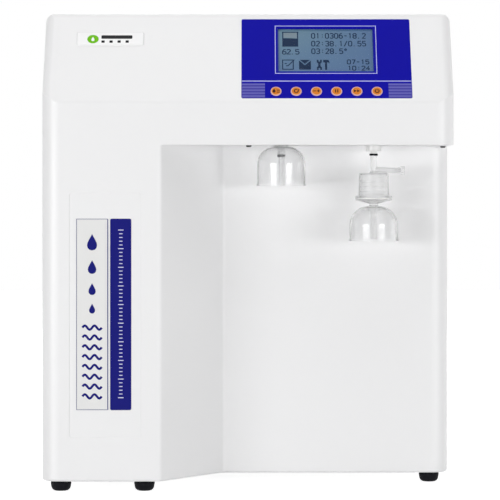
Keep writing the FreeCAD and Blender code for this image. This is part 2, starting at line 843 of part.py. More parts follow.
# ---------------------------------------------------------------- control panel
def make_panel():
    overlay = slope_block(overlay_left, overlay_left + overlay_width, overlay_rise,
                          overlay_rise + overlay_length, -overlay_thickness, 0, overlay_corner)
    overlay = overlay.cut(slope_block(
        window_left - snug, window_left + window_width + snug,
        window_rise - snug, window_rise + window_length + snug, -wall, wall))
    for x in key_places:
        overlay = overlay.cut(slope_rod(x, key_rise, -wall, wall, key_diameter))
    keep("keypad_overlay", overlay)

    keep("lcd_window", slope_block(window_left, window_left + window_width, window_rise,
                                   window_rise + window_length, -window_thickness, 0))

    module = slope_block(
        window_left - lcd_module_margin, window_left + window_width + lcd_module_margin,
        window_rise - lcd_module_margin, window_rise + window_length + lcd_module_margin,
        -board_front, -wall)
    glass = slope_block(window_left + snug, window_left + window_width - snug, window_rise + snug,
                        window_rise + window_length - snug, -wall, -window_thickness - snug)
    keep("lcd_module", module.fuse(glass))

    board = slope_block(board_left, board_right, board_low, board_high,
                        -board_front - board_thickness, -board_front)
    for x in key_places:
        board = board.fuse(slope_block(x - switch_size / 2, x + switch_size / 2,
                                       key_rise - switch_size / 2, key_rise + switch_size / 2,
                                       -board_front, -key_back - key_travel - snug))
    board = board.fuse(slope_block(panel_plug_x - switch_size, panel_plug_x + switch_size,
                                   panel_plug_rise - switch_size / 2, panel_plug_rise + switch_size / 2,
                                   -plug_back, -board_front - board_thickness))
    keep("display_board", board)

    for index, x in enumerate(key_places):
        cap = slope_rod(x, key_rise, -key_back, key_proud, 2 * key_radius)
        flange = slope_rod(x, key_rise, -key_back, -wall - clearance, 2 * (key_radius + key_flange))
        keep("key_" + str(index + 1), cap.fuse(flange))

    keep("badge_plate", slope_block(badge_left, badge_left + badge_width, badge_rise,
                                    badge_rise + badge_length, 0, badge_thickness, badge_corner))
    label = rounded_face([
        (label_left, label_bottom, label_corner),
        (label_left + label_width, label_bottom, label_corner),
        (label_left + label_width, label_bottom + label_height, label_corner),
        (label_left, label_bottom + label_height, label_corner),
    ], lambda x, z: at(x, label_recess_depth - label_thickness, z))
    keep("side_label", label.extrude(Vector(0, label_thickness, 0)))


# ---------------------------------------------------------------- outlets
def bell(x, low, height, crown, opening):
    """Clear bell with a domed crown, a small lip and a hole at the top."""
    top = low + height

    def dome(radius, rounding, bottom, summit):
        return turned(x, outlet_depth, [
            (0, bottom, 0), (radius, bottom, 0), (radius, summit, rounding), (0, summit, 0)])

    solid = dome(bell_radius, crown, low, top)
    lip = turned(x, outlet_depth, [
        (bell_radius - bell_wall, low, 0), (bell_radius + bell_lip, low, 0),
        (bell_radius + bell_lip, low + bell_lip, bell_lip / 2),
        (bell_radius - bell_wall / 2, low + 3 * bell_lip, 0)])
    hollow = dome(bell_radius - bell_wall, crown - bell_wall, low - bell_wall, top - bell_wall)
    return solid.fuse(lip).cut(hollow).cut(rod(x, outlet_depth, low, top + bell_wall, opening))


def outlet_nut(x):
    """Lock nut that holds an outlet to the ceiling from above."""
    nut = rod(x, outlet_depth, bay_ceiling + wall, bay_ceiling + wall + nut_height, nut_diameter)
    return nut.cut(rod(x, outlet_depth, 0, body_top, spigot_diameter))


def ring(x, top):
    """Rubber ring on an outlet's stem."""
    return turned(x, outlet_depth, [
        (stem_diameter / 2, top - ring_height, 0), (ring_diameter / 2, top - ring_height, ring_edge),
        (ring_diameter / 2, top, ring_edge), (stem_diameter / 2, top, 0)])


def make_left_outlet():
    low = bay_ceiling - bell_height
    flange_low = bay_ceiling - nozzle_flange_height
    nozzle = turned(left_outlet_x, outlet_depth, [
        (stem_bore / 2, low, 0), (stem_diameter / 2, low, 0), (stem_diameter / 2, flange_low, 0),
        (nozzle_flange_diameter / 2, flange_low, 0), (nozzle_flange_diameter / 2, bay_ceiling, 0),
        (spigot_diameter / 2, bay_ceiling, 0), (spigot_diameter / 2, spigot_top, 0),
        (stem_bore / 2, spigot_top, 0)])
    keep("left_outlet_nozzle", nozzle)
    ring_top = bay_ceiling - left_ring_drop
    shell = bell(left_outlet_x, low, bell_height - nozzle_flange_height - snug, left_bell_crown,
                 stem_diameter + 2 * snug)
    sleeve = rod(left_outlet_x, outlet_depth, ring_top + snug, flange_low - bell_wall, ring_diameter)
    sleeve = sleeve.cut(rod(left_outlet_x, outlet_depth, low, bay_ceiling, stem_diameter + 2 * snug))
    keep("left_outlet_bell", shell.fuse(sleeve))


def make_right_outlet():
    x = right_outlet_x
    collar_low = bay_ceiling - collar_height
    ring_top = bay_ceiling - right_ring_drop
    stem_top = ring_top - ring_height - snug
    filter_top = bay_ceiling - filter_top_drop
    flange_top = filter_top - filter_upper_height
    flange_low = flange_top - filter_flange_height
    split = (flange_top + flange_low) / 2
    cone_low = flange_low - filter_cone_height
    hub_top = cone_low - filter_neck_height + filter_cone_height
    hub_low = hub_top - filter_hub_height
    rim = bay_ceiling - filter_bell_drop

    keep("right_outlet_nozzle", turned(x, outlet_depth, [
        (stem_bore / 2, stem_top, 0), (stem_diameter / 2, stem_top, 0), (stem_diameter / 2, collar_low, 0),
        (collar_diameter / 2, collar_low, collar_edge), (collar_diameter / 2, bay_ceiling, 0),
        (spigot_diameter / 2, bay_ceiling, 0), (spigot_diameter / 2, spigot_top, 0),
        (stem_bore / 2, spigot_top, 0)]))
    keep("outlet_rings", [ring(left_outlet_x, bay_ceiling - left_ring_drop), ring(x, ring_top)])

    # upper half of the capsule filter, with its inlet stem and vent arm
    upper = turned(x, outlet_depth, [
        (0, split, 0), (filter_flange_diameter / 2, split, 0),
        (filter_flange_diameter / 2, flange_top, filter_edge), (filter_diameter / 2, flange_top, 0),
        (filter_diameter / 2, filter_top, filter_edge), (stem_diameter / 2, filter_top, 0),
        (stem_diameter / 2, stem_top, 0), (0, stem_top, 0)])
    vent_z = bay_ceiling - vent_drop
    upper = upper.fuse(rod_across(outlet_depth, vent_z, x, x + vent_arm_reach - clearance, vent_arm_diameter))
    upper = upper.cut(rod(x, outlet_depth, split, filter_top - filter_wall,
                          filter_diameter - 2 * filter_wall))
    upper = upper.cut(rod(x, outlet_depth, split, stem_top, stem_bore))
    upper = upper.cut(rod_across(outlet_depth, vent_z, x, x + vent_arm_reach,
                                 vent_pin_diameter + 2 * running))
    keep("filter_upper_housing", upper)

    # lower half: cone, neck, hub and the delivery stem inside the bell
    lower = turned(x, outlet_depth, [
        (stem_bore / 2, rim, 0), (stem_diameter / 2, rim, 0), (stem_diameter / 2, hub_low, 0),
        (filter_hub_diameter / 2, hub_low, 0), (filter_hub_diameter / 2, hub_top, filter_edge),
        (filter_neck_diameter / 2, hub_top, 0), (filter_neck_diameter / 2, cone_low, 0),
        (filter_flange_diameter / 2 - filter_cone_inset, flange_low, 0),
        (filter_flange_diameter / 2, flange_low, filter_edge),
        (filter_flange_diameter / 2, split, 0), (stem_bore / 2, split, 0)])
    disc = filter_diameter
    lower = lower.cut(rod(x, outlet_depth, split - membrane_thickness, split, disc + 2 * snug))
    keep("filter_lower_housing", lower)
    keep("filter_membrane", rod(x, outlet_depth, split - membrane_thickness, split, disc))

    vent = rod_across(outlet_depth, vent_z, x + vent_arm_reach - vent_pin_length,
                      x + vent_arm_reach + vent_knob_length / 2, vent_pin_diameter)
    knob = rod_across(outlet_depth, vent_z, x + vent_arm_reach, x + vent_arm_reach + vent_knob_length,
                      vent_knob_diameter)
    knob_end = x + vent_arm_reach + vent_knob_length
    for side in (-1, 1):
        knob = knob.cut(block(knob_end - vent_knob_length / 2, knob_end,
                              outlet_depth - vent_knob_diameter, outlet_depth + vent_knob_diameter,
                              vent_z + side * vent_knob_diameter / 2 - vent_grip_cut,
                              vent_z + side * vent_knob_diameter / 2 + vent_grip_cut))
    keep("vent_valve", vent.fuse(knob))

    keep("filter_bell", bell(x, rim, filter_bell_height, filter_bell_crown,
                             filter_hub_diameter + 2 * snug))
    keep("outlet_nuts", [outlet_nut(left_outlet_x), outlet_nut(right_outlet_x)])


# ---------------------------------------------------------------- back fittings
def make_ports():
    ports = []
    tip = body_depth + rear_reach
    for x in port_places:
        port = rod_back(x, port_z, panel_depth - port_inside, body_depth, port_thread_diameter)
        port = port.fuse(rod_back(x, port_z, body_depth, body_depth + port_flange, port_body_diameter))
        port = port.fuse(rod_back(x, port_z, body_depth + port_flange, tip, port_collar_diameter))
        port = port.cut(rod_back(x, port_z, tip - port_bore_depth, tip, tube_diameter + port_bore_gap))
        port = port.cut(rod_back(x, port_z, panel_depth - port_inside, tip, stem_bore))
        nut = rod_back(x, port_z, panel_depth - port_flange, panel_depth, port_body_diameter)
        ports.append(port)
        ports.append(nut.cut(rod_back(x, port_z, 0, body_depth, port_thread_diameter)))
    keep("tube_ports", ports)


def make_power_inlet():
    face = body_depth + inlet_flange_thickness
    flange = block(inlet_x - inlet_flange_width / 2, inlet_x + inlet_flange_width / 2, body_depth, face,
                   inlet_z - inlet_flange_height / 2, inlet_z + inlet_flange_height / 2)
    body = block(inlet_x - inlet_body_width / 2, inlet_x + inlet_body_width / 2,
                 body_depth - inlet_body_depth, body_depth,
                 inlet_z - inlet_body_height / 2, inlet_z + inlet_body_height / 2)
    inlet = flange.fuse(body)
    inlet = inlet.cut(block(inlet_x - socket_width / 2, inlet_x + socket_width / 2, face - socket_depth, face,
                            socket_z - socket_height / 2, socket_z + socket_height / 2))
    for x, z in ((-pin_spacing / 2, -pin_offset), (pin_spacing / 2, -pin_offset), (0, pin_offset)):
        inlet = inlet.fuse(block(inlet_x + x - pin_width / 2, inlet_x + x + pin_width / 2,
                                 face - socket_depth, face - pin_recess,
                                 socket_z + z - pin_height / 2, socket_z + z + pin_height / 2))
    well = rocker_radius + clearance
    inlet = inlet.cut(block(inlet_x - rocker_width / 2 - clearance, inlet_x + rocker_width / 2 + clearance,
                            rocker_depth - well, face, rocker_z - well, rocker_z + well))
    stub = rocker_width / 2 + rocker_stub_length
    inlet = inlet.cut(rod_across(rocker_depth, rocker_z, inlet_x - stub - snug, inlet_x + stub + snug,
                                 2 * (rocker_stub_radius + running)))
    keep("power_inlet", inlet)

    # rocker: a drum segment with a shallow V face, turned to its "off" end
    half = math.radians(rocker_swing / 2)
    low = rocker_pivot_depth / 2
    high = low + rocker_radius * math.tan(half)
    outline = Part.Face(Part.makePolygon([
        at(inlet_x - rocker_width / 2, rocker_depth + u, rocker_z + w) for u, w in (
            (-rocker_radius, -rocker_radius), (-rocker_radius, rocker_radius), (high, rocker_radius),
            (low, 0), (high, -rocker_radius), (-rocker_radius, -rocker_radius))]))
    rocker = outline.extrude(Vector(rocker_width, 0, 0))
    rocker = rocker.common(rod_across(rocker_depth, rocker_z, inlet_x - rocker_width / 2,
                                      inlet_x + rocker_width / 2, 2 * rocker_radius))
    rocker = rocker.fuse(rod_across(rocker_depth, rocker_z, inlet_x - stub, inlet_x + stub,
                                    2 * rocker_stub_radius))
    rocker.rotate(at(inlet_x, rocker_depth, rocker_z), Vector(1, 0, 0), -rocker_swing / 2)
    keep("power_rocker", rocker)


# ---------------------------------------------------------------- water path
def cartridge(x, depth, diameter, height):
    """Sealed filter cartridge that hangs by its neck under a manifold."""
    top = manifold_bottom - clearance
    return turned(x, depth, [
        (0, top - height, 0), (diameter / 2, top - height, cartridge_dome),
        (diameter / 2, top - cartridge_neck, cartridge_dome),
        (cartridge_neck_diameter / 2, top - cartridge_neck, 0),
        (cartridge_neck_diameter / 2, top, 0), (0, top, 0)])


def manifold(x, depths):
    """Head block over a row of cartridges, with an arm to the mounting plate."""
    reach = cartridge_neck_diameter / 2 + manifold_margin
    top = manifold_bottom + manifold_height
    body = rounded_block(x - reach, x + reach, depths[0] - reach, depths[-1] + reach,
                         manifold_bottom, top, manifold_margin)
    middle = (depths[0] + depths[-1]) / 2
    side = math.copysign(1, x)
    x0, x1 = sorted((x, side * plate_thickness / 2))
    body = body.fuse(block(x0, x1, middle - bracket_arm / 2, middle + bracket_arm / 2, manifold_bottom, top))
    for depth in depths:
        body = body.fuse(rod(x, depth, top, top + nipple_length, nipple_diameter))
    return body


def clips(x, depth, diameter, heights):
    """Rings round an upright vessel, each with a foot to the mounting plate."""
    side = math.copysign(1, x)
    outer = diameter + 2 * clip_wall
    result = []
    for z in heights:
        band = rod(x, depth, z, z + clip_height, outer)
        x0, x1 = sorted((x, side * plate_thickness / 2))
        band = band.fuse(block(x0, x1, depth - clip_height / 2, depth + clip_height / 2, z, z + clip_height))
        result.append(band.cut(rod(x, depth, z, z + clip_height, diameter)))
    return result


def make_filters():
    for name, depth in (("sediment_cartridge", prefilter_depths[0]),
                        ("carbon_cartridge", prefilter_depths[1])):
        keep(name, cartridge(prefilter_x, depth, prefilter_diameter, prefilter_height))
    keep("prefilter_manifold", manifold(prefilter_x, prefilter_depths))
    for name, depth in (("polishing_cartridge_1", polisher_depths[0]),
                        ("polishing_cartridge_2", polisher_depths[1])):
        keep(name, cartridge(polisher_x, depth, polisher_diameter, polisher_height))
    keep("polisher_manifold", manifold(polisher_x, polisher_depths))


def make_vessels():
    top = vessel_bottom + vessel_height
    vessel = turned(vessel_x, vessel_depth, [
        (0, vessel_bottom, 0), (vessel_diameter / 2, vessel_bottom, cartridge_dome),
        (vessel_diameter / 2, top, cartridge_dome), (0, top, 0)])
    vessel = vessel.cut(rod(vessel_x, vessel_depth, vessel_bottom + 2 * vessel_wall, top - 2 * vessel_wall,
                            vessel_diameter - 2 * vessel_wall))
    for x in (vessel_x, vessel_side_x):
        vessel = vessel.fuse(rod(x, vessel_depth, top, top + nipple_length, nipple_diameter))
        vessel = vessel.fuse(rod(x, vessel_depth, vessel_bottom - nipple_length, vessel_bottom,
                                 nipple_diameter))
    keep("ro_vessel", vessel)
    keep("ro_membrane", rod(vessel_x, vessel_depth, vessel_bottom + 2 * vessel_wall, top - 2 * vessel_wall,
                            membrane_diameter))

    low = lamp_chamber_bottom
    high = low + lamp_chamber_height
    chamber = rod(lamp_x, lamp_chamber_depth, low, high, lamp_chamber_diameter)
    chamber = chamber.cut(rod(lamp_x, lamp_chamber_depth, low + lamp_chamber_wall, high - lamp_chamber_wall,
                              lamp_chamber_diameter - 2 * lamp_chamber_wall))
    for z in (low - nipple_length, high):
        chamber = chamber.fuse(rod(lamp_x, lamp_chamber_depth, z, z + nipple_length, nipple_diameter))
    keep("uv_chamber", chamber)
    keep("uv_lamp", rod(lamp_x, lamp_chamber_depth, low + lamp_chamber_wall, high - lamp_chamber_wall,
                        lamp_diameter))

    bands = []
    for x, depth, diameter, bottom, height in (
            (vessel_x, vessel_depth, vessel_diameter, vessel_bottom, vessel_height),
            (lamp_x, lamp_chamber_depth, lamp_chamber_diameter, lamp_chamber_bottom, lamp_chamber_height)):
        bands += clips(x, depth, diameter, [bottom + height * share for share in clip_shares])
    keep("vessel_clips", bands)


def make_pump():
    base_top = floor_top + pump_base_height
    front = pump_depth - pump_head_length
    head = block(pump_x - pump_head_size / 2, pump_x + pump_head_size / 2, front, pump_depth,
                 base_top, base_top + pump_head_size)
    foot = block(pump_x - pump_foot_width / 2, pump_x + pump_foot_width / 2, front,
                 pump_depth + motor_length, floor_top, base_top)
    head = head.fuse(foot)
    for x in pump_nipples:
        head = head.fuse(rod(x, pump_depth - pump_head_length / 2, base_top + pump_head_size,
                             base_top + pump_head_size + nipple_length, nipple_diameter))
    keep("pump_head", head)

    back = pump_depth + motor_length
    can = rod_back(pump_x, pump_axis_z, pump_depth, back, motor_diameter)
    can = can.cut(rod_back(pump_x, pump_axis_z, pump_depth + bearing_width, back - bearing_width,
                           motor_diameter - 2 * motor_wall))
    can = can.cut(rod_back(pump_x, pump_axis_z, pump_depth, back, bearing_diameter))
    keep("pump_motor", can)

    bearings = []
    for depth in (pump_depth, back - bearing_width):
        race = rod_back(pump_x, pump_axis_z, depth, depth + bearing_width, bearing_diameter)
        bearings.append(race.cut(rod_back(pump_x, pump_axis_z, depth, depth + bearing_width,
                                          shaft_diameter + 2 * running)))
    keep("pump_bearings", bearings)

    middle = (pump_depth + back) / 2
    rotor = rod_back(pump_x, pump_axis_z, pump_depth + clearance, back + bearing_width, shaft_diameter)
    rotor = rotor.fuse(rod_back(pump_x, pump_axis_z, middle - rotor_length / 2, middle + rotor_length / 2,
                                rotor_diameter))
    flat = block(pump_x - shaft_diameter, pump_x + shaft_diameter, back + clearance,
                 back + 2 * bearing_width, pump_axis_z + shaft_flat, pump_axis_z + shaft_diameter)
    keep("pump_rotor", rotor.cut(flat))


def make_electrics():
    keep("power_supply", rounded_block(supply_x - supply_width / 2, supply_x + supply_width / 2,
                                       supply_depth, supply_depth + supply_length,
                                       floor_top, floor_top + supply_height, sheet))

    face = plate_thickness / 2 + control_board_standoff
    z1 = control_board_z + control_board_height
    board = block(face, face + board_thickness, control_board_depth,
                  control_board_depth + control_board_length, control_board_z, z1)
    edge = post_diameter
    for depth in (control_board_depth + edge, control_board_depth + control_board_length - edge):
        for z in (control_board_z + edge, z1 - edge):
            board = board.fuse(rod_across(depth, z, plate_thickness / 2, face, post_diameter))
    chip_face = face + board_thickness
    for column in range(chip_columns):
        for row in range(chip_rows):
            depth = control_board_depth + control_board_length * (column + 1) / (chip_columns + 1)
            z = control_board_z + control_board_height * (row + 1) / (chip_rows + 1)
            board = board.fuse(block(chip_face, chip_face + chip_height, depth - 2 * chip_height,
                                     depth + 2 * chip_height, z - chip_height, z + chip_height))
    keep("control_board", board)

    x1 = -plate_thickness / 2
    valve = block(x1 - valve_width, x1, valve_depth - valve_length / 2, valve_depth + valve_length / 2,
                  valve_z, valve_z + valve_height)
    valve = valve.fuse(rod(valve_x, valve_depth, valve_z + valve_height,
                           valve_z + valve_height + nipple_length, nipple_diameter))
    keep("tank_valve", valve)


# ---------------------------------------------------------------- tubing and wiring
def run_of_tube(points, diameter):
    """Tube through the points: straight runs joined by tangent arcs."""
    path = [at(*point) for point in points]
    edges = []
    start = path[0]
    for index in range(1, len(path) - 1):
        corner = path[index]
        back = path[index - 1] - corner
        ahead = path[index + 1] - corner
        half_angle = back.getAngle(ahead) / 2
        setback = min(tube_bend / math.tan(half_angle), tube_share * back.Length, tube_share * ahead.Length)
        radius = setback * math.tan(half_angle)
        back.normalize()
        ahead.normalize()
        entry = corner + back * setback
        leave = corner + ahead * setback
        centre = corner + (back + ahead).normalize() * (radius / math.sin(half_angle))
        middle = centre + (corner - centre).normalize() * radius
        edges.append(Part.LineSegment(start, entry).toShape())
        edges.append(Part.Arc(entry, middle, leave).toShape())
        start = leave
    edges.append(Part.LineSegment(start, path[-1]).toShape())
    spine = Part.Wire(edges)
    first = (path[1] - path[0]).normalize()
    section = Part.Wire(Part.Circle(path[0], first, diameter / 2).toShape())
    return spine.makePipeShell([section], True, False)


def make_tubing():
    manifold_top = manifold_bottom + manifold_height + nipple_length
    high = manifold_top + tube_rise
    vessel_top = vessel_bottom + vessel_height + nipple_length
    vessel_low = vessel_bottom - nipple_length
    port_end = panel_depth - port_inside
    behind = port_end - tube_lead
    pump_top = floor_top + pump_base_height + pump_head_size + nipple_length
    pump_mid = pump_depth - pump_head_length / 2
    beside = prefilter_x - prefilter_diameter / 2 - tube_side
    lamp_top = lamp_chamber_bottom + lamp_chamber_height + nipple_length
    lamp_low = lamp_chamber_bottom - nipple_length
    head_depth = outlet_depth + tube_head_run
    right_high = manifold_bottom + manifold_height + tube_diameter
    left_high = right_high + 2 * tube_diameter
    tubes = [
        [(port_places[0], port_end, port_z), (port_places[0], behind, port_z),
         (prefilter_x, behind, high), (prefilter_x, prefilter_depths[1], high),
         (prefilter_x, prefilter_depths[1], manifold_top)],
        [(prefilter_x, prefilter_depths[0], manifold_top), (prefilter_x, prefilter_depths[0], high),
         (beside, prefilter_depths[0], high), (beside, prefilter_depths[0], pump_top + tube_rise),
         (beside, pump_mid, pump_top + tube_rise), (pump_nipples[0], pump_mid, pump_top + tube_rise),
         (pump_nipples[0], pump_mid, pump_top)],
        [(pump_nipples[1], pump_mid, pump_top), (pump_nipples[1], pump_mid, pump_top + tube_rise),
         (vessel_x, pump_mid, pump_top + tube_rise), (vessel_x, pump_mid, vessel_low - tube_rise),
         (vessel_x, vessel_depth, vessel_low - tube_rise), (vessel_x, vessel_depth, vessel_low)],
        [(vessel_x, vessel_depth, vessel_top), (vessel_x, vessel_depth, high),
         (polisher_x, vessel_depth, high), (polisher_x, polisher_depths[1], high),
         (polisher_x, polisher_depths[1], manifold_top)],
        [(polisher_x, polisher_depths[0], manifold_top), (polisher_x, polisher_depths[0], high),
         (lamp_x, polisher_depths[0], high), (lamp_x, polisher_depths[0], lamp_low - tube_rise),
         (lamp_x, lamp_chamber_depth, lamp_low - tube_rise), (lamp_x, lamp_chamber_depth, lamp_low)],
        [(lamp_x, lamp_chamber_depth, lamp_top), (lamp_x, lamp_chamber_depth, right_high),
         (lamp_side_x, lamp_chamber_depth, right_high), (lamp_side_x, head_depth, right_high),
         (right_outlet_x, head_depth, right_high), (right_outlet_x, outlet_depth, right_high),
         (right_outlet_x, outlet_depth, spigot_top)],
        [(vessel_side_x, vessel_depth, vessel_top), (vessel_side_x, vessel_depth, left_high),
         (vessel_side_x, head_depth, left_high), (left_outlet_x, head_depth, left_high),
         (left_outlet_x, outlet_depth, left_high), (left_outlet_x, outlet_depth, spigot_top)],
        [(vessel_side_x, vessel_depth, vessel_low), (vessel_side_x, vessel_depth, drain_z),
         (vessel_side_x, behind, drain_z), (port_places[1], behind, drain_z),
         (port_places[1], behind, port_z), (port_places[1], port_end, port_z)],
        [(port_places[2], port_end, port_z), (port_places[2], behind, port_z), (valve_x, behind, port_z),
         (valve_x, valve_back, port_z), (valve_x, valve_back, valve_top + tube_rise),
         (valve_x, valve_depth, valve_top + tube_rise), (valve_x, valve_depth, valve_top)],
    ]
    keep("tubing", [run_of_tube(points, tube_diameter) for points in tubes])
    plate = parts["mounting_plate"]
    plate = plate.cut(rod_across(vessel_depth, high, -body_width, body_width, tube_diameter + 2 * seam))
    keep("mounting_plate", plate)


def make_wiring():
    board_x = plate_thickness / 2 + control_board_standoff + board_thickness
    cable_x = board_x + chip_height
    supply_z = floor_top + supply_height / 2
    cable_depth = control_board_depth + control_board_length / 2
    plug = on_slope(panel_plug_x, panel_plug_rise, -plug_back) - at(0, 0, 0)
    cables = [
        [(supply_x, supply_depth, supply_z), (supply_x, supply_depth - tube_lead, supply_z),
         (cable_x, supply_depth - tube_lead, supply_z), (cable_x, supply_depth - tube_lead, control_board_z)],
        [(cable_x, control_board_depth + board_thickness, cable_z),
         (cable_x, control_board_depth - tube_rise, cable_z),
         (cable_x, control_board_depth - tube_rise, cable_high), (cable_x, cable_front, cable_high),
         (panel_plug_x, cable_front, cable_high), (panel_plug_x, cable_front, plug.z),
         (panel_plug_x, plug.y + cable_diameter / 2, plug.z)],
    ]
    keep("wiring", [run_of_tube(points, cable_diameter) for points in cables])
    board = parts["control_board"]
    low = control_board_z
    for depth, z in ((supply_depth - tube_lead, low),
                     (control_board_depth + 2 * chip_height, cable_z - chip_height)):
        board = board.fuse(block(board_x, cable_x + chip_height, depth - chip_height, depth + chip_height,
                                 z, z + 2 * chip_height))
    keep("control_board", board)


# ---------------------------------------------------------------- build
def main():
    make_front_shell()
    make_panel()
    make_left_outlet()
    make_right_outlet()
    make_top_cover()
    make_base_tray()
    make_feet()
    make_frame()
    make_hinges()
    make_door(-1, "left_door")
    make_door(1, "right_door")
    make_back_panel()
    make_cover_screws()
    make_ports()
    make_power_inlet()
    make_filters()
    make_vessels()
    make_pump()
    make_electrics()
    make_tubing()
    make_wiring()
    os.makedirs("parts", exist_ok=True)
    for name, shape in parts.items():
        shape.exportStep("parts/" + name + ".step")
    print(len(parts), "sub-parts")


main()
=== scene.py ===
import json
import math

import bmesh
import bpy
from mathutils import Matrix, Vector


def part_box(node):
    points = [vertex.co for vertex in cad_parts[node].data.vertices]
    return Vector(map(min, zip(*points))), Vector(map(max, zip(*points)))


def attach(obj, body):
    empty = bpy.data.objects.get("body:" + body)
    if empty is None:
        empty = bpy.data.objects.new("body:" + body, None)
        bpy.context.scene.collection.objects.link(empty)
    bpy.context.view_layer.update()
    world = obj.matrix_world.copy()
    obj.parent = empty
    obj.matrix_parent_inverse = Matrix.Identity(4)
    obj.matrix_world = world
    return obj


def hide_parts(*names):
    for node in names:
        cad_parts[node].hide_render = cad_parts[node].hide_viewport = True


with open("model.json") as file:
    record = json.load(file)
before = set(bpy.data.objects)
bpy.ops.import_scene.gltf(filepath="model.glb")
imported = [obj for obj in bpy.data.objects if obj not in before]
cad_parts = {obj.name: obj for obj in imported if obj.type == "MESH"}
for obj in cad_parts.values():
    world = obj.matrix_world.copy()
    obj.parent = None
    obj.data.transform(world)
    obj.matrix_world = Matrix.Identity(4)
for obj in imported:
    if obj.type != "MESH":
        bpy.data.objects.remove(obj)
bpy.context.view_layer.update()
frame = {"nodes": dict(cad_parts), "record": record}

MM = 0.001  # shapes are worked out in millimetres, meshes are in metres
CABINET = "cabinet"
X, Y, Z = Vector((1, 0, 0)), Vector((0, 1, 0)), Vector((0, 0, 1))


# ---------------- places taken from the frame
def box(node):
    """Lowest and highest corner of a CAD node, in millimetres."""
    low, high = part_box(node)
    return Vector(low) / MM, Vector(high) / MM


def centre(node):
    low, high = box(node)
    return (low + high) / 2


def axis_of(node):
    """Point on the upright axis of a turned node, at the height of the bench."""
    middle = centre(node)
    return Vector((middle.x, middle.y, 0))


SLOPE = math.radians(34.0)  # slope of the control panel from the vertical
SLOPE_UP = Vector((0, math.sin(SLOPE), math.cos(SLOPE)))
SLOPE_OUT = Vector((0, -math.cos(SLOPE), math.sin(SLOPE)))
OVERLAY_THICKNESS = 0.5
overlay_low, overlay_high = box("keypad_overlay")
OVERLAY_WIDTH = overlay_high.x - overlay_low.x
OVERLAY_CORNER = overlay_low + Z * (OVERLAY_THICKNESS * math.sin(SLOPE))


def panel(x, rise, out=0.0):
    """Point on the overlay: from its lower left corner, up the slope, and out of it."""
    return OVERLAY_CORNER + X * x + SLOPE_UP * rise + SLOPE_OUT * out


# ---------------- materials
MATERIAL = {}


def put(node, **inputs):
    """Sets a node's inputs by name, with _ for a space: a socket is linked, anything else is a value."""
    for name, value in inputs.items():
        socket = node.inputs[name.replace("_", " ")]
        if isinstance(value, bpy.types.NodeSocket):
            node.id_data.links.new(value, socket)
        else:
            socket.default_value = value


def add(tree, kind, output, **inputs):
    """Adds a node and returns one of its outputs."""
    node = tree.nodes.new("ShaderNode" + kind)
    put(node, **inputs)
    return node.outputs[output]


def combined(tree, operation, *sources):
    """Math node on two values."""
    node = tree.nodes.new("ShaderNodeMath")
    node.operation = operation
    for socket, source in zip(node.inputs, sources):
        tree.links.new(source, socket)
    return node.outputs["Value"]


def shader(name):
    """New material, kept in MATERIAL; returns its tree and its Principled shader."""
    material = MATERIAL[name] = bpy.data.materials.new(name)
    material.use_nodes = True
    return material.node_tree, material.node_tree.nodes["Principled BSDF"]


def noise(tree, scale, detail=3.0, stretch=(1, 1, 1)):
    """Noise in object space, so that it holds still from any side."""
    place = add(tree, "Mapping", "Vector", Vector=add(tree, "TexCoord", "Object"), Scale=stretch)
    return add(tree, "TexNoise", "Fac", Vector=place, Scale=scale, Detail=detail)


def ramp(tree, source, low, high, low_at=0.35, high_at=0.65):
    """Colour ramp between two colours."""
    colour = add(tree, "ValToRGB", "Color", Fac=source)
    for stop, place, tone in zip(colour.node.color_ramp.elements, (low_at, high_at), (low, high)):
        stop.position = place
        stop.color = (*tone, 1)
    return colour


def span(tree, source, low, high):
    """Remaps a 0 to 1 value to low to high."""
    return add(tree, "MapRange", "Result", Value=source, To_Min=low, To_Max=high)


def bump(tree, source, strength, distance):
    return add(tree, "Bump", "Normal", Height=source, Strength=strength, Distance=distance)


def tinted(colour, amount):
    """The same colour, a little darker."""
    return tuple(channel * (1 - amount) for channel in colour)


def finish(name, colour, roughness=0.4, grain=1500, depth=0.03, tint=0.03, specular=0.5, metallic=0.0,
           stretch=(1, 1, 1), cloud=9.0, spread=0.06):
    """Plain solid finish: faint colour clouds, roughness that varies, and a fine grain."""
    tree, principled = shader(name)
    clouds = noise(tree, cloud, 4.0)
    put(principled, Base_Color=ramp(tree, clouds, tinted(colour, tint), colour, 0.2, 0.8),
        Roughness=span(tree, clouds, roughness - spread, roughness + spread),
        Metallic=metallic, Specular_IOR_Level=specular,
        Normal=bump(tree, noise(tree, grain, 2.0, stretch), depth, 0.0004))


def clear(name, colour, roughness, ior, clarity=1.0, coat=0.0, alpha=1.0, gloss=0.08):
    """Clear or milky moulded plastic with faint flow marks."""
    tree, principled = shader(name)
    flow = noise(tree, 26.0, 3.0, (1, 1, 0.3))
    put(principled, Base_Color=ramp(tree, flow, tinted(colour, 0.04), colour),
        Roughness=span(tree, flow, roughness, roughness + 0.04), Transmission_Weight=clarity,
        Coat_Weight=coat, Coat_Roughness=gloss, Alpha=alpha, IOR=ior,
        Normal=bump(tree, flow, 0.04, 0.0006))


def make_window_material():
    """Thin clear sheet: nearly see-through, with a soft gloss."""
    tree, principled = shader("window_clear")
    haze = noise(tree, 40.0, 3.0)
    tone = (0.03, 0.04, 0.05)
    put(principled, Base_Color=ramp(tree, haze, tinted(tone, 0.2), tone), Alpha=0.03, Specular_IOR_Level=0.1,
        Roughness=span(tree, haze, 0.12, 0.17), Normal=bump(tree, haze, 0.02, 0.0003))


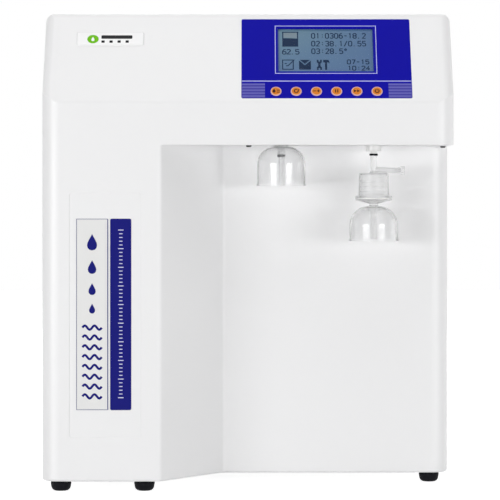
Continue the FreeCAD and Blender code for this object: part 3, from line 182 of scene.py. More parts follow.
def make_display_material():
    """Liquid crystal with a faint painted glow that stands in for the light falling on it through the window;
    lighter and greener towards its upper left corner.
    """
    tree, principled = shader("display_glass")
    low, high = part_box("lcd_module")
    split = add(tree, "SeparateXYZ", "X", Vector=add(tree, "TexCoord", "Object")).node
    left = add(tree, "MapRange", "Result", Value=split.outputs["X"], From_Min=high.x, From_Max=low.x)
    up = add(tree, "MapRange", "Result", Value=split.outputs["Z"], From_Min=low.z, From_Max=high.z)
    colour = ramp(tree, combined(tree, "MULTIPLY", left, up), (0.057, 0.117, 0.228), (0.096, 0.178, 0.242),
                  0.05, 0.75)
    cells = noise(tree, 1800.0, 1.0)
    # painted glow: a weak emission of the display's own colour stands in for light reaching it, not a backlight
    put(principled, Base_Color=colour, Emission_Color=colour, Emission_Strength=0.35, Specular_IOR_Level=0.2,
        Roughness=span(tree, cells, 0.3, 0.4), Normal=bump(tree, cells, 0.03, 0.0003))


# slots of the record: name, colour, roughness, grain, depth of its bump
finish("shell_white", (0.86, 0.86, 0.865), 0.40, 1500, 0.02, 0.008, 0.55, cloud=3.0, spread=0.015)
finish("cover_white", (0.84, 0.84, 0.845), 0.42, 700, 0.10, 0.015)
finish("panel_blue", (0.003, 0.002, 0.37), 0.42, 2200, 0.04, 0.10, 0.05)
finish("key_orange", (0.72, 0.21, 0.012), 0.36, 1800, 0.04, 0.08, 0.15)
finish("badge_white", (0.90, 0.90, 0.905), 0.22, 1500, 0.02, 0.01, spread=0.02)
finish("label_white", (0.79, 0.79, 0.785), 0.35, 1200, 0.03, 0.02)
finish("white_plastic", (0.74, 0.74, 0.735), 0.35, 1200)
finish("black_rubber", (0.006, 0.006, 0.009), 0.62, 1500, 0.12, 0.2, 0.1)
finish("black_plastic", (0.018, 0.018, 0.02), 0.45, 1400, 0.10, 0.2)
finish("screw_black", (0.02, 0.02, 0.02), 0.35, 1400, 0.05, metallic=0.6)
finish("steel", (0.60, 0.61, 0.62), 0.30, 500, 0.10, metallic=1.0, stretch=(1, 1, 12))
finish("frame_aluminium", (0.70, 0.71, 0.72), 0.38, 600, 0.08, metallic=1.0, stretch=(1, 1, 10))
finish("circuit_green", (0.012, 0.11, 0.04), 0.4, 900, 0.08, 0.3, cloud=60.0)
finish("bush_nylon", (0.70, 0.69, 0.64), 0.45, 900, 0.05)
finish("cartridge_white", (0.78, 0.79, 0.80), 0.32, 1000)
finish("cartridge_blue", (0.02, 0.09, 0.36), 0.32, 1000, 0.03, 0.1)
finish("membrane_white", (0.82, 0.82, 0.79), 0.8, 1600, 0.3, cloud=200.0)
finish("tube_natural", (0.74, 0.76, 0.77), 0.3, 800, 0.04)
finish("motor_dark", (0.04, 0.04, 0.045), 0.4, 700, 0.12, 0.2)
clear("clear_plastic", (0.93, 0.931, 0.933), 0.03, 1.16, 1.0, 0.62, 0.9, 0.12)
clear("lamp_quartz", (0.85, 0.88, 0.95), 0.04, 1.46)
make_window_material()
make_display_material()
MATERIAL["display_dark"] = MATERIAL["display_glass"]

# prints, rims and bands
finish("pale_print", (0.46, 0.48, 0.84), 0.4, 2200, specular=0.2)
finish("block_print", (0.065, 0.061, 0.361), 0.4, 2200, specular=0.05)
finish("stripe_print", (0.15, 0.144, 0.515), 0.4, 2200, specular=0.1)
finish("key_rim", (0.80, 0.50, 0.42), 0.38, 1800, specular=0.3)
finish("key_print", (0.05, 0.012, 0.004), 0.5, 1800, 0.02, specular=0.1)
finish("display_ink", (0.004, 0.022, 0.07), 0.4, 1800, 0.02, specular=0.1)
finish("display_pale", (0.22, 0.29, 0.34), 0.4, 1800, 0.02, specular=0.1)
finish("label_navy", (0.006, 0.007, 0.175), 0.4, 1500, 0.03, 0.06, 0.12)
finish("badge_green", (0.16, 0.52, 0.004), 0.35, specular=0.1)
finish("white_print", (0.62, 0.63, 0.80))
finish("dark_print", (0.012, 0.012, 0.014), specular=0.12)
finish("collet_grey", (0.20, 0.23, 0.27), 0.4, 1200, 0.05)
finish("band_pale", (0.66, 0.70, 0.76), 0.35, 1200)
finish("band_blue", (0.02, 0.11, 0.42), 0.35, 1200, 0.03, 0.1)
finish("board_track", (0.03, 0.22, 0.08), 0.35, 1200)
clear("frosted_plastic", (0.895, 0.896, 0.898), 0.2, 1.22, 0.87, 0.42, 0.8, 0.22)
clear("stem_plastic", (0.93, 0.932, 0.935), 0.08, 1.2, 0.85, 0.1, 0.85)

# the CAD nodes take the finish that their record names
for part in frame["record"]["subparts"]:
    for material_slot in frame["nodes"][part["node"]].material_slots:
        material_slot.material = MATERIAL[part["material_slot"]]


# ---------------- mesh helpers
def linked(name, data):
    """New object in the scene."""
    obj = bpy.data.objects.new(name, data)
    bpy.context.scene.collection.objects.link(obj)
    return obj


def piece(name, shapes, material, body=CABINET, smooth=35.0, node=None):
    """One mesh object from shapes of vertices and faces; it rides on a body and may stand for a CAD node."""
    vertices = []
    faces = []
    for some_vertices, some_faces in shapes:
        start = len(vertices)
        vertices += [Vector(point) * MM for point in some_vertices]
        faces += [[index + start for index in face] for face in some_faces]
    mesh = bpy.data.meshes.new(name)
    mesh.from_pydata(vertices, [], faces)
    shape = bmesh.new()
    shape.from_mesh(mesh)
    bmesh.ops.remove_doubles(shape, verts=shape.verts, dist=1e-7)
    bmesh.ops.recalc_face_normals(shape, faces=shape.faces)
    shape.to_mesh(mesh)
    shape.free()
    obj = linked(name, mesh)
    for entry in material.split():
        mesh.materials.append(MATERIAL[entry])
    if smooth:
        mesh.shade_smooth()
        mesh.set_sharp_from_angle(angle=math.radians(smooth))
    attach(obj, body)
    if node:
        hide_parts(node)
    return obj


def moved(points, scale=1.0, shift=(0.0, 0.0)):
    return [(x * scale + shift[0], y * scale + shift[1]) for x, y in points]


def mirrored(half):
    """Outline from its right half, listed from the top middle down to the bottom middle."""
    return half + [(-x, y) for x, y in half[-2:0:-1]]


def arc(radius, start, end, steps=14, x=0.0, y=0.0):
    """Points of an arc, from one angle in degrees to another."""
    turns = [math.radians(start + (end - start) * step / steps) for step in range(steps + 1)]
    return [(x + radius * math.cos(turn), y + radius * math.sin(turn)) for turn in turns]


def bar(x0, x1, y0, y1, radius=0.0):
    """Rectangle, with rounded corners if a radius is given."""
    if not radius:
        return [(x0, y0), (x1, y0), (x1, y1), (x0, y1)]
    left, right, low, high = x0 + radius, x1 - radius, y0 + radius, y1 - radius
    return (arc(radius, -90, 0, 3, right, low) + arc(radius, 0, 90, 3, right, high)
            + arc(radius, 90, 180, 3, left, high) + arc(radius, 180, 270, 3, left, low))


def circle(radius, sides=24, hexagon=False):
    """Circle, or a hexagon of that size across its flats, with the same number of points."""
    points = []
    for step in range(sides):
        turn = 2 * math.pi * step / sides
        flat = math.cos((turn + math.pi / 6) % (math.pi / 3) - math.pi / 6) if hexagon else 1.0
        points.append((radius / flat * math.cos(turn), radius / flat * math.sin(turn)))
    return points


def fluted(radius, depth, flutes):
    """Circle that swells by a depth in rounded flutes, with six points to a flute."""
    points = []
    for step, (x, y) in enumerate(circle(1.0, 6 * flutes)):
        reach = radius + depth * (0.5 + 0.5 * math.cos(math.pi * step / 3))
        points.append((reach * x, reach * y))
    return points


def loft(rings, ends="flat"):
    """Surface through rings of as many points; its ends are flat faces, joined to each other, or open."""
    count = len(rings[0])
    total = count * len(rings)
    faces = []
    for start in range(0, total if ends == "joined" else total - count, count):
        ahead = (start + count) % total
        for index in range(count):
            follow = (index + 1) % count
            faces.append((start + index, start + follow, ahead + follow, ahead + index))
    if ends == "flat":
        faces += [range(count - 1, -1, -1), range(total - count, total)]
    return [point for ring in rings for point in ring], faces


def stacked(rings, place, ends="flat"):
    """Loft of (outline, height) rings; place(u, v, w) gives a point."""
    return loft([[place(u, v, height) for u, v in points] for points, height in rings], ends)


def slab(points, place, low, high):
    return stacked([(points, low), (points, high)], place)


def frame_of(origin, across, up):
    """place(u, v, w): u and v lie in a face, w stands out of it."""
    out = across.cross(up)
    return lambda u, v, w: origin + across * u + up * v + out * w


TURNED = {"X": (Y, Z, X), "Y": (X, Z, Y), "Z": (X, Y, Z)}


def lathe(profile, middle, axis="Z", steps=72):
    """Turns a closed profile of (radius, along) about an axis through `middle`."""
    side, up, out = TURNED[axis]
    return loft([[middle + side * (r * cosine) + up * (r * sine) + out * along for r, along in profile]
                 for cosine, sine in circle(1.0, steps)], "joined")


def rounded(corners, steps=6):
    """Profile through (radius, along, rounding) corners, each rounded by its own arc."""
    points = []
    for index, (r, z, rounding) in enumerate(corners):
        if rounding == 0:
            points.append((r, z))
            continue
        here = Vector((r, z))
        back = (Vector(corners[index - 1][:2]) - here).normalized()
        ahead = (Vector(corners[(index + 1) % len(corners)][:2]) - here).normalized()
        half = back.angle(ahead) / 2
        middle = here + (back + ahead).normalized() * (rounding / math.sin(half))
        first = here + back * (rounding / math.tan(half)) - middle
        last = here + ahead * (rounding / math.tan(half)) - middle
        turn = first.angle_signed(last)
        for step in range(steps + 1):
            arm = first.copy()
            arm.rotate(Matrix.Rotation(-turn * step / steps, 2))
            points.append(tuple(middle + arm))
    return points


def ribbon(points, width, place, low, high, closed=False):
    """Line of even width through points, with mitred corners, as a thin solid."""
    count = len(points)
    rings = []
    for index, point in enumerate(points):
        here = Vector(point)
        steps = []
        if closed or index > 0:
            steps.append((here - Vector(points[index - 1])).normalized())
        if closed or index < count - 1:
            steps.append((Vector(points[(index + 1) % count]) - here).normalized())
        along = sum(steps, Vector((0, 0))).normalized()
        across = Vector((-along.y, along.x))
        square = Vector((-steps[0].y, steps[0].x))
        reach = width / 2 / max(0.55, across.dot(square))
        left = here + across * reach
        right = here - across * reach
        rings.append([place(*left, low), place(*right, low), place(*right, high), place(*left, high)])
    return loft(rings, "joined" if closed else "flat")


PRINT_LIFT = 0.05  # how far a print stands out of what carries it
INK_THICKNESS = 0.06


def print_piece(name, outlines, ink, place=panel, low=PRINT_LIFT, body=CABINET,
                lines=(), width=0.0, closed=False):
    """Flat prints and lines, all of one ink, as one thin piece that lies on what carries it."""
    high = low + INK_THICKNESS
    shapes = [slab(points, place, low, high) for points in outlines]
    shapes += [ribbon(points, width, place, low, high, closed) for points in lines]
    piece(name, shapes, ink, body, smooth=0)


# ---------------- control panel prints
FRAME_OUTER = (38.6, 156.2, 34.9, 104.4)  # pale line round the window: left, right, low, high
FRAME_LINE = 0.95
DIVIDER_RISE = 24.4
DIVIDER_LINE = 1.25
STRIPES_LOW = 0.5
STRIPE_COUNT = 5
STRIPE_PITCH = 4.18
BLOCK_WIDTH = 27.0


def make_panel_prints():
    """Pale frame round the display, divider line and the striped blocks beside the keys."""
    left, right, low, high = FRAME_OUTER
    inset = FRAME_LINE / 2
    print_piece("panel_frame_line", [], "pale_print", width=FRAME_LINE, closed=True,
                lines=[bar(left + inset, right - inset, low + inset, high - inset)])
    print_piece("panel_divider", [bar(0.3, OVERLAY_WIDTH - 0.3, DIVIDER_RISE - DIVIDER_LINE / 2,
                                      DIVIDER_RISE + DIVIDER_LINE / 2)], "pale_print")
    top = STRIPES_LOW + STRIPE_PITCH * STRIPE_COUNT
    print_piece("panel_blocks", [bar(0.4, BLOCK_WIDTH, STRIPES_LOW, top),
                                 bar(OVERLAY_WIDTH - BLOCK_WIDTH, OVERLAY_WIDTH - 0.4, STRIPES_LOW, top)],
                "block_print")
    stripes = []
    for index in range(STRIPE_COUNT):
        low = STRIPES_LOW + STRIPE_PITCH * (index + 0.42)
        high = low + 0.38 * STRIPE_PITCH
        stripes += [bar(0.5, BLOCK_WIDTH - 0.1, low, high),
                    bar(OVERLAY_WIDTH - BLOCK_WIDTH + 0.1, OVERLAY_WIDTH - 0.5, low, high)]
    print_piece("panel_stripes", stripes, "stripe_print", low=PRINT_LIFT + INK_THICKNESS)


# ---------------- keys
KEY_RISE = 9.85  # key centres above the overlay's lower edge
KEY_RADIUS = 6.25
KEY_CROWN = 0.35
KEY_PROUD = 0.55
KEY_FLANGE = 1.4
KEY_FLANGE_FACES = (-4.35, -5.45)
KEY_RING = 0.83  # share of the key's radius inside its pale ring
MARK_SCALE = 1.2
DROP = mirrored([(0, 2.6), (1.1, 0.9), (1.55, -0.2), (1.4, -1.2), (0.8, -1.9), (0, -2.1)])
# a plain sign for each key: filled shapes and lines, about the key's centre
KEY_MARKS = [
    ([moved(DROP, 1.0, (-1.9, 0)), bar(0.6, 3.6, -1.9, -0.9), bar(0.6, 3.6, 0.4, 1.4)], []),
    ([[(1.7, 2.3), (3.3, 1.2), (1.5, 0.6)]], [arc(1.9, 55, 385)]),
    ([bar(-3.4, -0.4, -0.45, 0.45), bar(0.4, 3.4, -0.45, 0.45), bar(1.45, 2.35, 0.45, 1.6),
      bar(1.45, 2.35, -1.6, -0.45)], []),
    ([bar(-1.6, -0.5, -1.9, 1.9), bar(0.5, 1.6, -1.9, 1.9)], []),
    ([[(-2.8, 1.8), (-0.1, 0.0), (-2.8, -1.8)], [(0.2, 1.8), (2.9, 0.0), (0.2, -1.8)]], []),
    ([bar(-0.4, 0.4, 0.4, 2.6)], [arc(1.9, 120, 420)]),
]


def make_key(node, outlines, lines):
    """Domed orange cap in a pale ring, with its flange behind the panel and its sign on the crown."""
    x = centre(node).x - OVERLAY_CORNER.x

    def place(u, v, w):
        return panel(x + u, KEY_RISE + v, w)

    def on_crown(u, v, w):
        share = min(1.0, math.hypot(u, v) / KEY_RADIUS)
        return place(u, v, KEY_PROUD + KEY_CROWN * (1 - share ** 2) + w)

    # from the middle of the crown to the flange's back: share of the radius, share of the crown
    crown = [(0.0, 1.0), (0.30, 0.94), (0.60, 0.72), (KEY_RING, 0.36), (0.85, 0.42), (0.94, 0.20)]
    rings = [(share * KEY_RADIUS, KEY_PROUD + rise * KEY_CROWN) for share, rise in crown]
    front, back = KEY_FLANGE_FACES
    rings += [(0.98 * KEY_RADIUS, KEY_PROUD - 0.10), (KEY_RADIUS, KEY_PROUD - 0.35), (KEY_RADIUS, front),
              (KEY_RADIUS + KEY_FLANGE, front), (KEY_RADIUS + KEY_FLANGE, back), (0.0, back)]
    shape = stacked([(circle(radius, 48), out) for radius, out in rings], place, "open")
    cap = piece(node + "_cap", [shape], "key_orange key_rim", node, 40.0, node)
    middle = place(0, 0, KEY_PROUD) * MM
    for polygon in cap.data.polygons:
        reach = max((cap.data.vertices[index].co - middle).length for index in polygon.vertices)
        polygon.material_index = int(reach > (KEY_RING + 0.01) * KEY_RADIUS * MM)
    print_piece(node + "_mark", [moved(points, MARK_SCALE) for points in outlines], "key_print",
                on_crown, 0.0, node, [moved(points, MARK_SCALE) for points in lines], 1.25)


# ---------------- display
WINDOW_LEFT = 41.7  # window's lower left corner on the overlay
WINDOW_RISE = 37.5
WINDOW_SIZE = (111.2, 63.4, 2.0)
WINDOW_BORDER = 0.9


def on_window(u, v, w):
    return panel(WINDOW_LEFT + u, WINDOW_RISE + v, w)


def make_window():
    """Clear pane with its edge printed in the panel's blue."""
    across, up, thick = WINDOW_SIZE
    rings = [(bar(inset, across - inset, inset, up - inset), out)
             for inset, out in ((0.15, -thick), (0.15, -0.12), (0.3, 0.0), (WINDOW_BORDER, 0.0))]
    pane = piece("window_pane", [stacked(rings, on_window)], "window_clear panel_blue",
                 smooth=0, node="lcd_window")
    low = on_window(WINDOW_BORDER, WINDOW_BORDER, 0) * MM
    high = on_window(across - WINDOW_BORDER, up - WINDOW_BORDER, 0) * MM
    for polygon in pane.data.polygons:
        middle = polygon.center
        inner = low.x < middle.x < high.x and low.z - thick * MM < middle.z < high.z
        polygon.material_index = 0 if inner and polygon.area > 0.0002 else 1


# strokes of the display's figures on a grid 4 wide and 6 high
STROKES = {
    "0": [[(1, 0), (3, 0), (4, 1), (4, 5), (3, 6), (1, 6), (0, 5), (0, 1), (1, 0)]],
    "1": [[(1, 5), (2.2, 6), (2.2, 0)]],
    "2": [[(0, 5), (1, 6), (3, 6), (4, 5), (4, 4), (0.2, 0), (4.2, 0)]],
    "3": [[(0, 5.2), (1, 6), (3, 6), (4, 5), (4, 4), (3, 3), (4, 2), (4, 1), (3, 0), (1, 0), (0, 0.8)],
          [(3, 3), (1.4, 3)]],
    "4": [[(3, 0), (3, 6), (0, 2), (4.2, 2)]],
    "5": [[(4, 6), (0.4, 6), (0.2, 3.5), (3, 3.5), (4, 2.6), (4, 1), (3, 0), (1, 0), (0, 0.8)]],
    "6": [[(3.6, 6), (1.6, 5.7), (0, 3.8), (0, 1), (1, 0), (3, 0), (4, 1), (4, 2.4), (3, 3.4), (0.4, 3.1)]],
    "7": [[(0, 6), (4, 6), (1.5, 0)]],
    "8": [[(1, 3), (0, 4), (0, 5), (1, 6), (3, 6), (4, 5), (4, 4), (3, 3), (4, 2), (4, 1), (3, 0), (1, 0),
           (0, 1), (0, 2), (1, 3), (3, 3)]],
    "-": [[(0.4, 3), (3.6, 3)]],
    ":": [[(2, 1.2), (2, 2.1)], [(2, 3.9), (2, 4.8)]],
    ".": [[(1.2, -0.4), (1.2, 0.6)]],
    "/": [[(0.4, -0.4), (3.8, 6.4)]],
    "*": [[(0.6, 4.9), (1.3, 5.9), (2.3, 5.9), (2.9, 4.9), (2.3, 4.0), (1.3, 4.0), (0.6, 4.9)]],
}
# text, its lower left corner in the window, width and height of a figure, pitch
FIGURES = [("01:0306-18.2", 39.6, 50.2, 3.7, 6.9, 5.35), ("02:38.1/0.55", 39.6, 38.9, 3.7, 6.9, 5.35),
           ("03:28.5*", 39.6, 27.9, 3.7, 6.9, 5.35), ("62.5", 5.8, 27.2, 4.0, 6.6, 5.0),
           ("07-15", 80.4, 13.0, 3.7, 5.8, 5.3), ("10:24", 81.0, 4.0, 3.7, 5.8, 5.3)]


def make_display():
    """Ink on the display: a tank with its level, rows of figures, a date, a time and plain signs."""
    def glass(u, v, w):
        return on_window(u, v, w - WINDOW_SIZE[2] - 0.1)

    lines = [[(x + pitch * index + u * width / 4, y + v * height / 6) for u, v in stroke]
             for text, x, y, width, height, pitch in FIGURES
             for index, figure in enumerate(text) for stroke in STROKES[figure]]
    # tank, note with its pencil
    lines += [[(6.2, 58.6), (6.2, 38.6), (23.4, 38.6), (23.4, 58.6)], [(5.3, 59.0), (24.3, 59.0)],
              [(5.8, 5.4), (18.0, 5.4), (18.0, 18.6), (5.8, 18.6), (5.8, 4.9)],
              [(9.6, 10.2), (12.2, 10.6), (19.2, 19.0)], [(8.0, 13.6), (10.6, 13.6)]]
    print_piece("display_figures", [], "display_ink", glass, 0.01, lines=lines, width=1.2)
    # water in the tank, envelope and its flap, wrench, hammer
    signs = [
        [(6.7, 39.0), (22.9, 39.0), (22.9, 49.6), (6.7, 50.4)],
        [(25.4, 4.9), (37.7, 4.9), (38.4, 5.6), (38.4, 17.9), (31.5, 11.2), (24.7, 17.9), (24.7, 5.6)],
        [(25.6, 18.9), (31.5, 13.0), (37.5, 18.9)],
        [(45.2, 4.6), (47.2, 4.6), (47.2, 7.2), (49.0, 7.2), (49.0, 4.6), (51.0, 4.6), (51.0, 8.0),
         (49.4, 10.0), (49.4, 13.6), (51.0, 15.6), (51.0, 19.0), (49.0, 19.0), (49.0, 16.4), (47.2, 16.4),
         (47.2, 19.0), (45.2, 19.0), (45.2, 15.6), (46.8, 13.6), (46.8, 10.0), (45.2, 8.0)],
        [(54.6, 4.6), (57.0, 4.6), (57.0, 15.2), (58.4, 15.2), (59.8, 13.6), (59.8, 16.0), (58.6, 18.8),
         (52.6, 18.8), (52.6, 15.2), (54.6, 15.2)],
    ]
    print_piece("display_signs", signs, "display_ink", glass, 0.01)
    print_piece("display_tank_air", [[(7.2, 51.2), (22.4, 50.6), (22.4, 57.9), (7.2, 57.9)]],
                "display_pale", glass, 0.01)


# ---------------- outlets
CEILING = 397.0  # underside of the head
STEM = 3.75  # radius of every outlet stem
STEM_BORE = 2.0
BELL = 28.0
BELL_WALL = 1.8
BELL_LIP = 0.9
DRUM = 17.55  # radius of the capsule's drum
FLANGE = 21.2
NIPPLE = [(6.0, CEILING, 0), (6.0, CEILING + 21.0, 0.6), (STEM_BORE, CEILING + 21.0, 0)]


def turned(name, corners, middle, material, node=None, axis="Z", steps=96):
    """Lathed piece through rounded corners; it replaces a CAD node if one is named."""
    piece(name, [lathe(rounded(corners), middle, axis, steps)], material, node=node)


def bell(name, node, top, hole, crown):
    """Bell: rim with its lip, straight skirt, rounded crown, flat top."""
    low = box(node)[0].z

    def over(radius, reach, rise):
        """From the skirt up to the flat top, or to the hole where that comes first."""
        points = [(r, z) for r, z in arc(radius, 0, 90, 12, reach - radius, rise - radius) if r > hole + 0.2]
        end = min(1.0, max(0.0, (hole - reach + radius) / radius))
        return points + [(hole, rise - radius + radius * math.sin(math.acos(end)))]

    inner = BELL - BELL_WALL
    lip = BELL + BELL_LIP
    profile = [(inner, low + 0.3), (inner + 0.3, low), (lip - 0.3, low), (lip, low + 0.3), (lip, low + 1.0),
               (BELL + 0.5 * BELL_LIP, low + 1.8), (BELL, low + 2.6)]
    profile += over(crown, BELL, top) + over(crown - BELL_WALL, inner, top - BELL_WALL)[::-1]
    piece(name, [lathe(profile, axis_of(node), "Z", 96)], "clear_plastic", node=node)


def o_ring(middle, top):
    """Flat-sided O-ring round a stem, a hair's breadth clear of it."""
    reach, rise = 0.55, 1.2
    major = STEM + 0.08 + reach
    return lathe([(major + reach * x, top - rise + rise * y) for x, y in circle(1.0, 16)], middle, "Z", 64)


def make_left_outlet():
    bell("left_bell", "left_outlet_bell", CEILING - 1.1, STEM + 0.1, 20.5)
    low = box("left_outlet_bell")[0].z
    turned("left_nozzle", [
        (STEM_BORE, low, 0.5), (STEM, low, 0.7), (STEM, CEILING - 1.0, 0.2), (8.0, CEILING - 1.0, 0.3),
        (8.0, CEILING, 0)] + NIPPLE, axis_of("left_outlet_bell"), "stem_plastic", "left_outlet_nozzle")


def make_right_outlet():
    middle = axis_of("right_outlet_nozzle")
    foot = box("filter_lower_housing")[0].z
    split = box("filter_lower_housing")[1].z
    stem_top = CEILING - 11.3
    turned("right_nozzle", [
        (STEM_BORE, stem_top, 0), (STEM, stem_top, 0.3), (STEM, CEILING - 6.5, 0.3), (8.85, CEILING - 6.5, 0.8),
        (8.85, CEILING, 0)] + NIPPLE, middle, "white_plastic", "right_outlet_nozzle")

    # upper half of the capsule: stem, drum with a raised rib, welded flange
    top = CEILING - 32.2
    flange_top = split + 2.7
    wall = 1.6
    turned("capsule_upper", [
        (FLANGE - 3.0, split, 0), (FLANGE, split, 0), (FLANGE, flange_top, 0.7),
        (DRUM + 0.7, flange_top, 0.4), (DRUM, flange_top + 5.0, 0.5), (DRUM - 0.3, top, 1.6),
        (STEM + 1.6, top, 0.8), (STEM, top + 2.4, 0.8), (STEM, stem_top, 0.4), (STEM_BORE, stem_top, 0),
        (STEM_BORE, top - wall, 0.3), (DRUM - 0.3 - wall, top - wall, 0.8), (DRUM - wall, flange_top, 0)],
        middle, "frosted_plastic", "filter_upper_housing")

    # fine ribs round the drum, standing just clear of its wall inside
    ribs = [lathe(bar(DRUM - 2.6, DRUM - 1.75, low, low + 0.9), middle)
            for low in (flange_top + 4.5, flange_top + 10.0, flange_top + 15.5)]
    piece("capsule_ribs", ribs, "frosted_plastic", smooth=30.0)

    # vent arm out of the drum, opened towards its valve
    turned("capsule_vent_arm", [
        (1.9, 3.0, 0), (3.7, 3.0, 0), (3.7, 12.0, 0.4), (3.1, 16.0, 0.4), (3.1, 27.5, 0.3), (3.7, 28.4, 0.3),
        (3.7, 30.9, 0.3), (1.9, 30.9, 0)], middle + Z * (CEILING - 28.8), "frosted_plastic", axis="X", steps=48)

    # lower half: flange, cone, neck, hub and the delivery stem
    hub_top = split - 7.9
    hub_low = hub_top - 7.0
    turned("capsule_lower", [
        (STEM_BORE, foot, 0.4), (STEM, foot, 0.7), (STEM, hub_low, 0.5), (7.1, hub_low, 0.5),
        (7.1, hub_top - 2.6, 0.5), (4.9, hub_top, 0.3), (4.9, split - 6.7, 0.4), (19.0, split - 2.7, 0.4),
        (FLANGE, split - 2.7, 0.7), (FLANGE, split, 0), (DRUM + 0.1, split, 0), (DRUM + 0.1, split - 1.3, 0),
        (5.6, split - 5.0, 0.4), (STEM_BORE, split - 5.0, 0)],
        middle, "frosted_plastic", "filter_lower_housing")
    bell("filter_bell_shell", "filter_bell", box("filter_bell")[0].z + 40.2, 7.25, 21.5)


def make_vent_knob():
    """Small fluted knob on the end of the vent arm."""
    low, high = box("vent_valve")
    middle = centre("vent_valve")
    place = frame_of(Vector((0, middle.y, middle.z)), Y, Z)
    back = high.x - 4.8
    shapes = [slab(fluted(4.45, 0.6, 14), place, back, high.x), slab(circle(1.75), place, low.x, back + 0.1)]
    knob = piece("vent_knob", shapes, "frosted_plastic", "vent_valve", 40.0, "vent_valve")
    edges = knob.modifiers.new("edges", "BEVEL")
    edges.width = 0.35 * MM
    edges.segments = 2
    edges.limit_method = "ANGLE"
    edges.angle_limit = math.radians(50)
    edges.harden_normals = True


# ---------------- badge and label
BADGE_LENGTH = 19.5
BADGE_THICKNESS = 1.6
OVAL_PLACE = (18.9, 8.7)
TALL_DROP = mirrored([(0, 4.3), (0.7, 2.7), (1.6, 1.1), (2.2, -0.5), (2.3, -1.6), (1.9, -2.7), (1.1, -3.4),
                      (0, -3.7)])
LABEL_DROP = mirrored([(0, 9.0), (1.2, 6.6), (2.8, 3.8), (4.2, 0.9), (4.6, -1.4), (4.0, -3.8), (2.4, -5.4),
                       (0, -6.0)])
OVER_PRINT = 2.2 * PRINT_LIFT  # height of a print that lies on another one


def make_badge():
    """Thick plate with a pillowed edge, a plain green drop and dark bars."""
    low, high = box("badge_plate")
    width = high.x - low.x
    start = low + Y * (BADGE_THICKNESS * math.cos(SLOPE)) + SLOPE_OUT * BADGE_THICKNESS
    face = frame_of(start, X, SLOPE_UP)
    rings = [(bar(inset, width - inset, inset, BADGE_LENGTH - inset, 2.0), -drop) for inset, drop in (
        (0.55, BADGE_THICKNESS), (0.55, 1.15), (0.0, 1.0), (0.25, 0.6), (0.8, 0.2), (1.6, 0.0))]
    piece("badge_pillow", [stacked(rings, face)], "badge_white", smooth=60.0, node="badge_plate")
    oval = [(6.6 * x, 6.1 * y) for x, y in circle(1.0, 40)]
    print_piece("badge_oval", [moved(oval, 1.0, OVAL_PLACE)], "badge_green", face)
    print_piece("badge_drop", [moved(TALL_DROP, 0.8, OVAL_PLACE)], "badge_white", face,
                OVER_PRINT)
    bars = [bar(28.6, 64.5, 9.2, 14.2, 1.0)]
    bars += [bar(x, x + 3.8, 3.4, 6.8, 0.6) for x in (28.8, 38.1, 47.4, 56.7)]
    print_piece("badge_bars", bars, "dark_print", face)


def make_label():
    """Tall label: white left part with a thin blue line, navy band with pale marks."""
    low, high = box("side_label")
    width = high.x - low.x
    height = high.z - low.z
    face = frame_of(low, X, Z)
    line = 0.5
    band = 0.615 * width
    rule = 0.565 * width
    blue = [bar(line, rule + line, line, 2 * line), bar(line, rule + line, height - 2 * line, height - line),
            bar(line, 2 * line, 2 * line, height - 2 * line),
            bar(rule, rule + 1.0, 2 * line, height - 2 * line),
            bar(band, width - 0.3, 0.3, height - 0.3, 1.8)]
    print_piece("label_navy_print", blue, "label_navy", face)

    # navy drops and waves stacked on the white part
    middle = rule / 2 + line
    drops = [moved(LABEL_DROP, scale, (middle, rise))
             for rise, scale in ((190.0, 1.25), (162.0, 1.05), (137.0, 0.9), (115.0, 0.75))]
    waves = [[(middle + 22.0 * (step / 48 - 0.5), 16.0 + 11.2 * index + 2.3 * math.sin(math.pi * step / 12))
              for step in range(49)] for index in range(8)]
    print_piece("label_marks", drops, "label_navy", face, lines=waves, width=2.6)

    # pale scale down the navy band
    column = (band + width) / 2
    ticks = []
    for index in range(46):
        reach = 3.1 if index % 5 == 0 else 1.9
        rise = 14.0 + 4.25 * index
        ticks.append(bar(column - reach, column + reach, rise, rise + 1.0))
    print_piece("label_scale", ticks, "white_print", face, OVER_PRINT)


# ---------------- small parts
def clusters(node, reach):
    """Boxes of the separate solids of a node, from its vertices."""
    obj = frame["nodes"][node]
    boxes = []
    for vertex in obj.data.vertices:
        point = obj.matrix_world @ vertex.co / MM
        for low, high in boxes:
            if all(low[i] - reach <= point[i] <= high[i] + reach for i in range(3)):
                for i in range(3):
                    low[i] = min(low[i], point[i])
                    high[i] = max(high[i], point[i])
                break
        else:
            boxes.append((point.copy(), point.copy()))
    return boxes


def socket_screw(place, radius, height, socket, shank, length):
    """Button-head screw with a hexagon socket, seated at w = 0."""
    return stacked([(circle(shank), -length), (circle(shank), 0.0), (circle(radius), 0.0),
                    (circle(radius), 0.45 * height), (circle(0.86 * radius), 0.86 * height),
                    (circle(0.68 * radius), height), (circle(socket, hexagon=True), height),
                    (circle(0.98 * socket, hexagon=True), 0.3 * height)], place)


def boss(place, radius, height, edge, low):
    return stacked([(circle(radius), low), (circle(radius), height - edge), (circle(radius - edge), height)],
                   place)


def block(place, x0, x1, y0, y1, height, edge=0.4, low=-0.1):
    """Block with a rounded outline and a small chamfer round its top."""
    points = bar(x0, x1, y0, y1, 2.5 * edge)
    inner = bar(x0 + edge, x1 - edge, y0 + edge, y1 - edge, 1.5 * edge)
    return stacked([(points, low), (points, height - edge), (inner, height)], place)


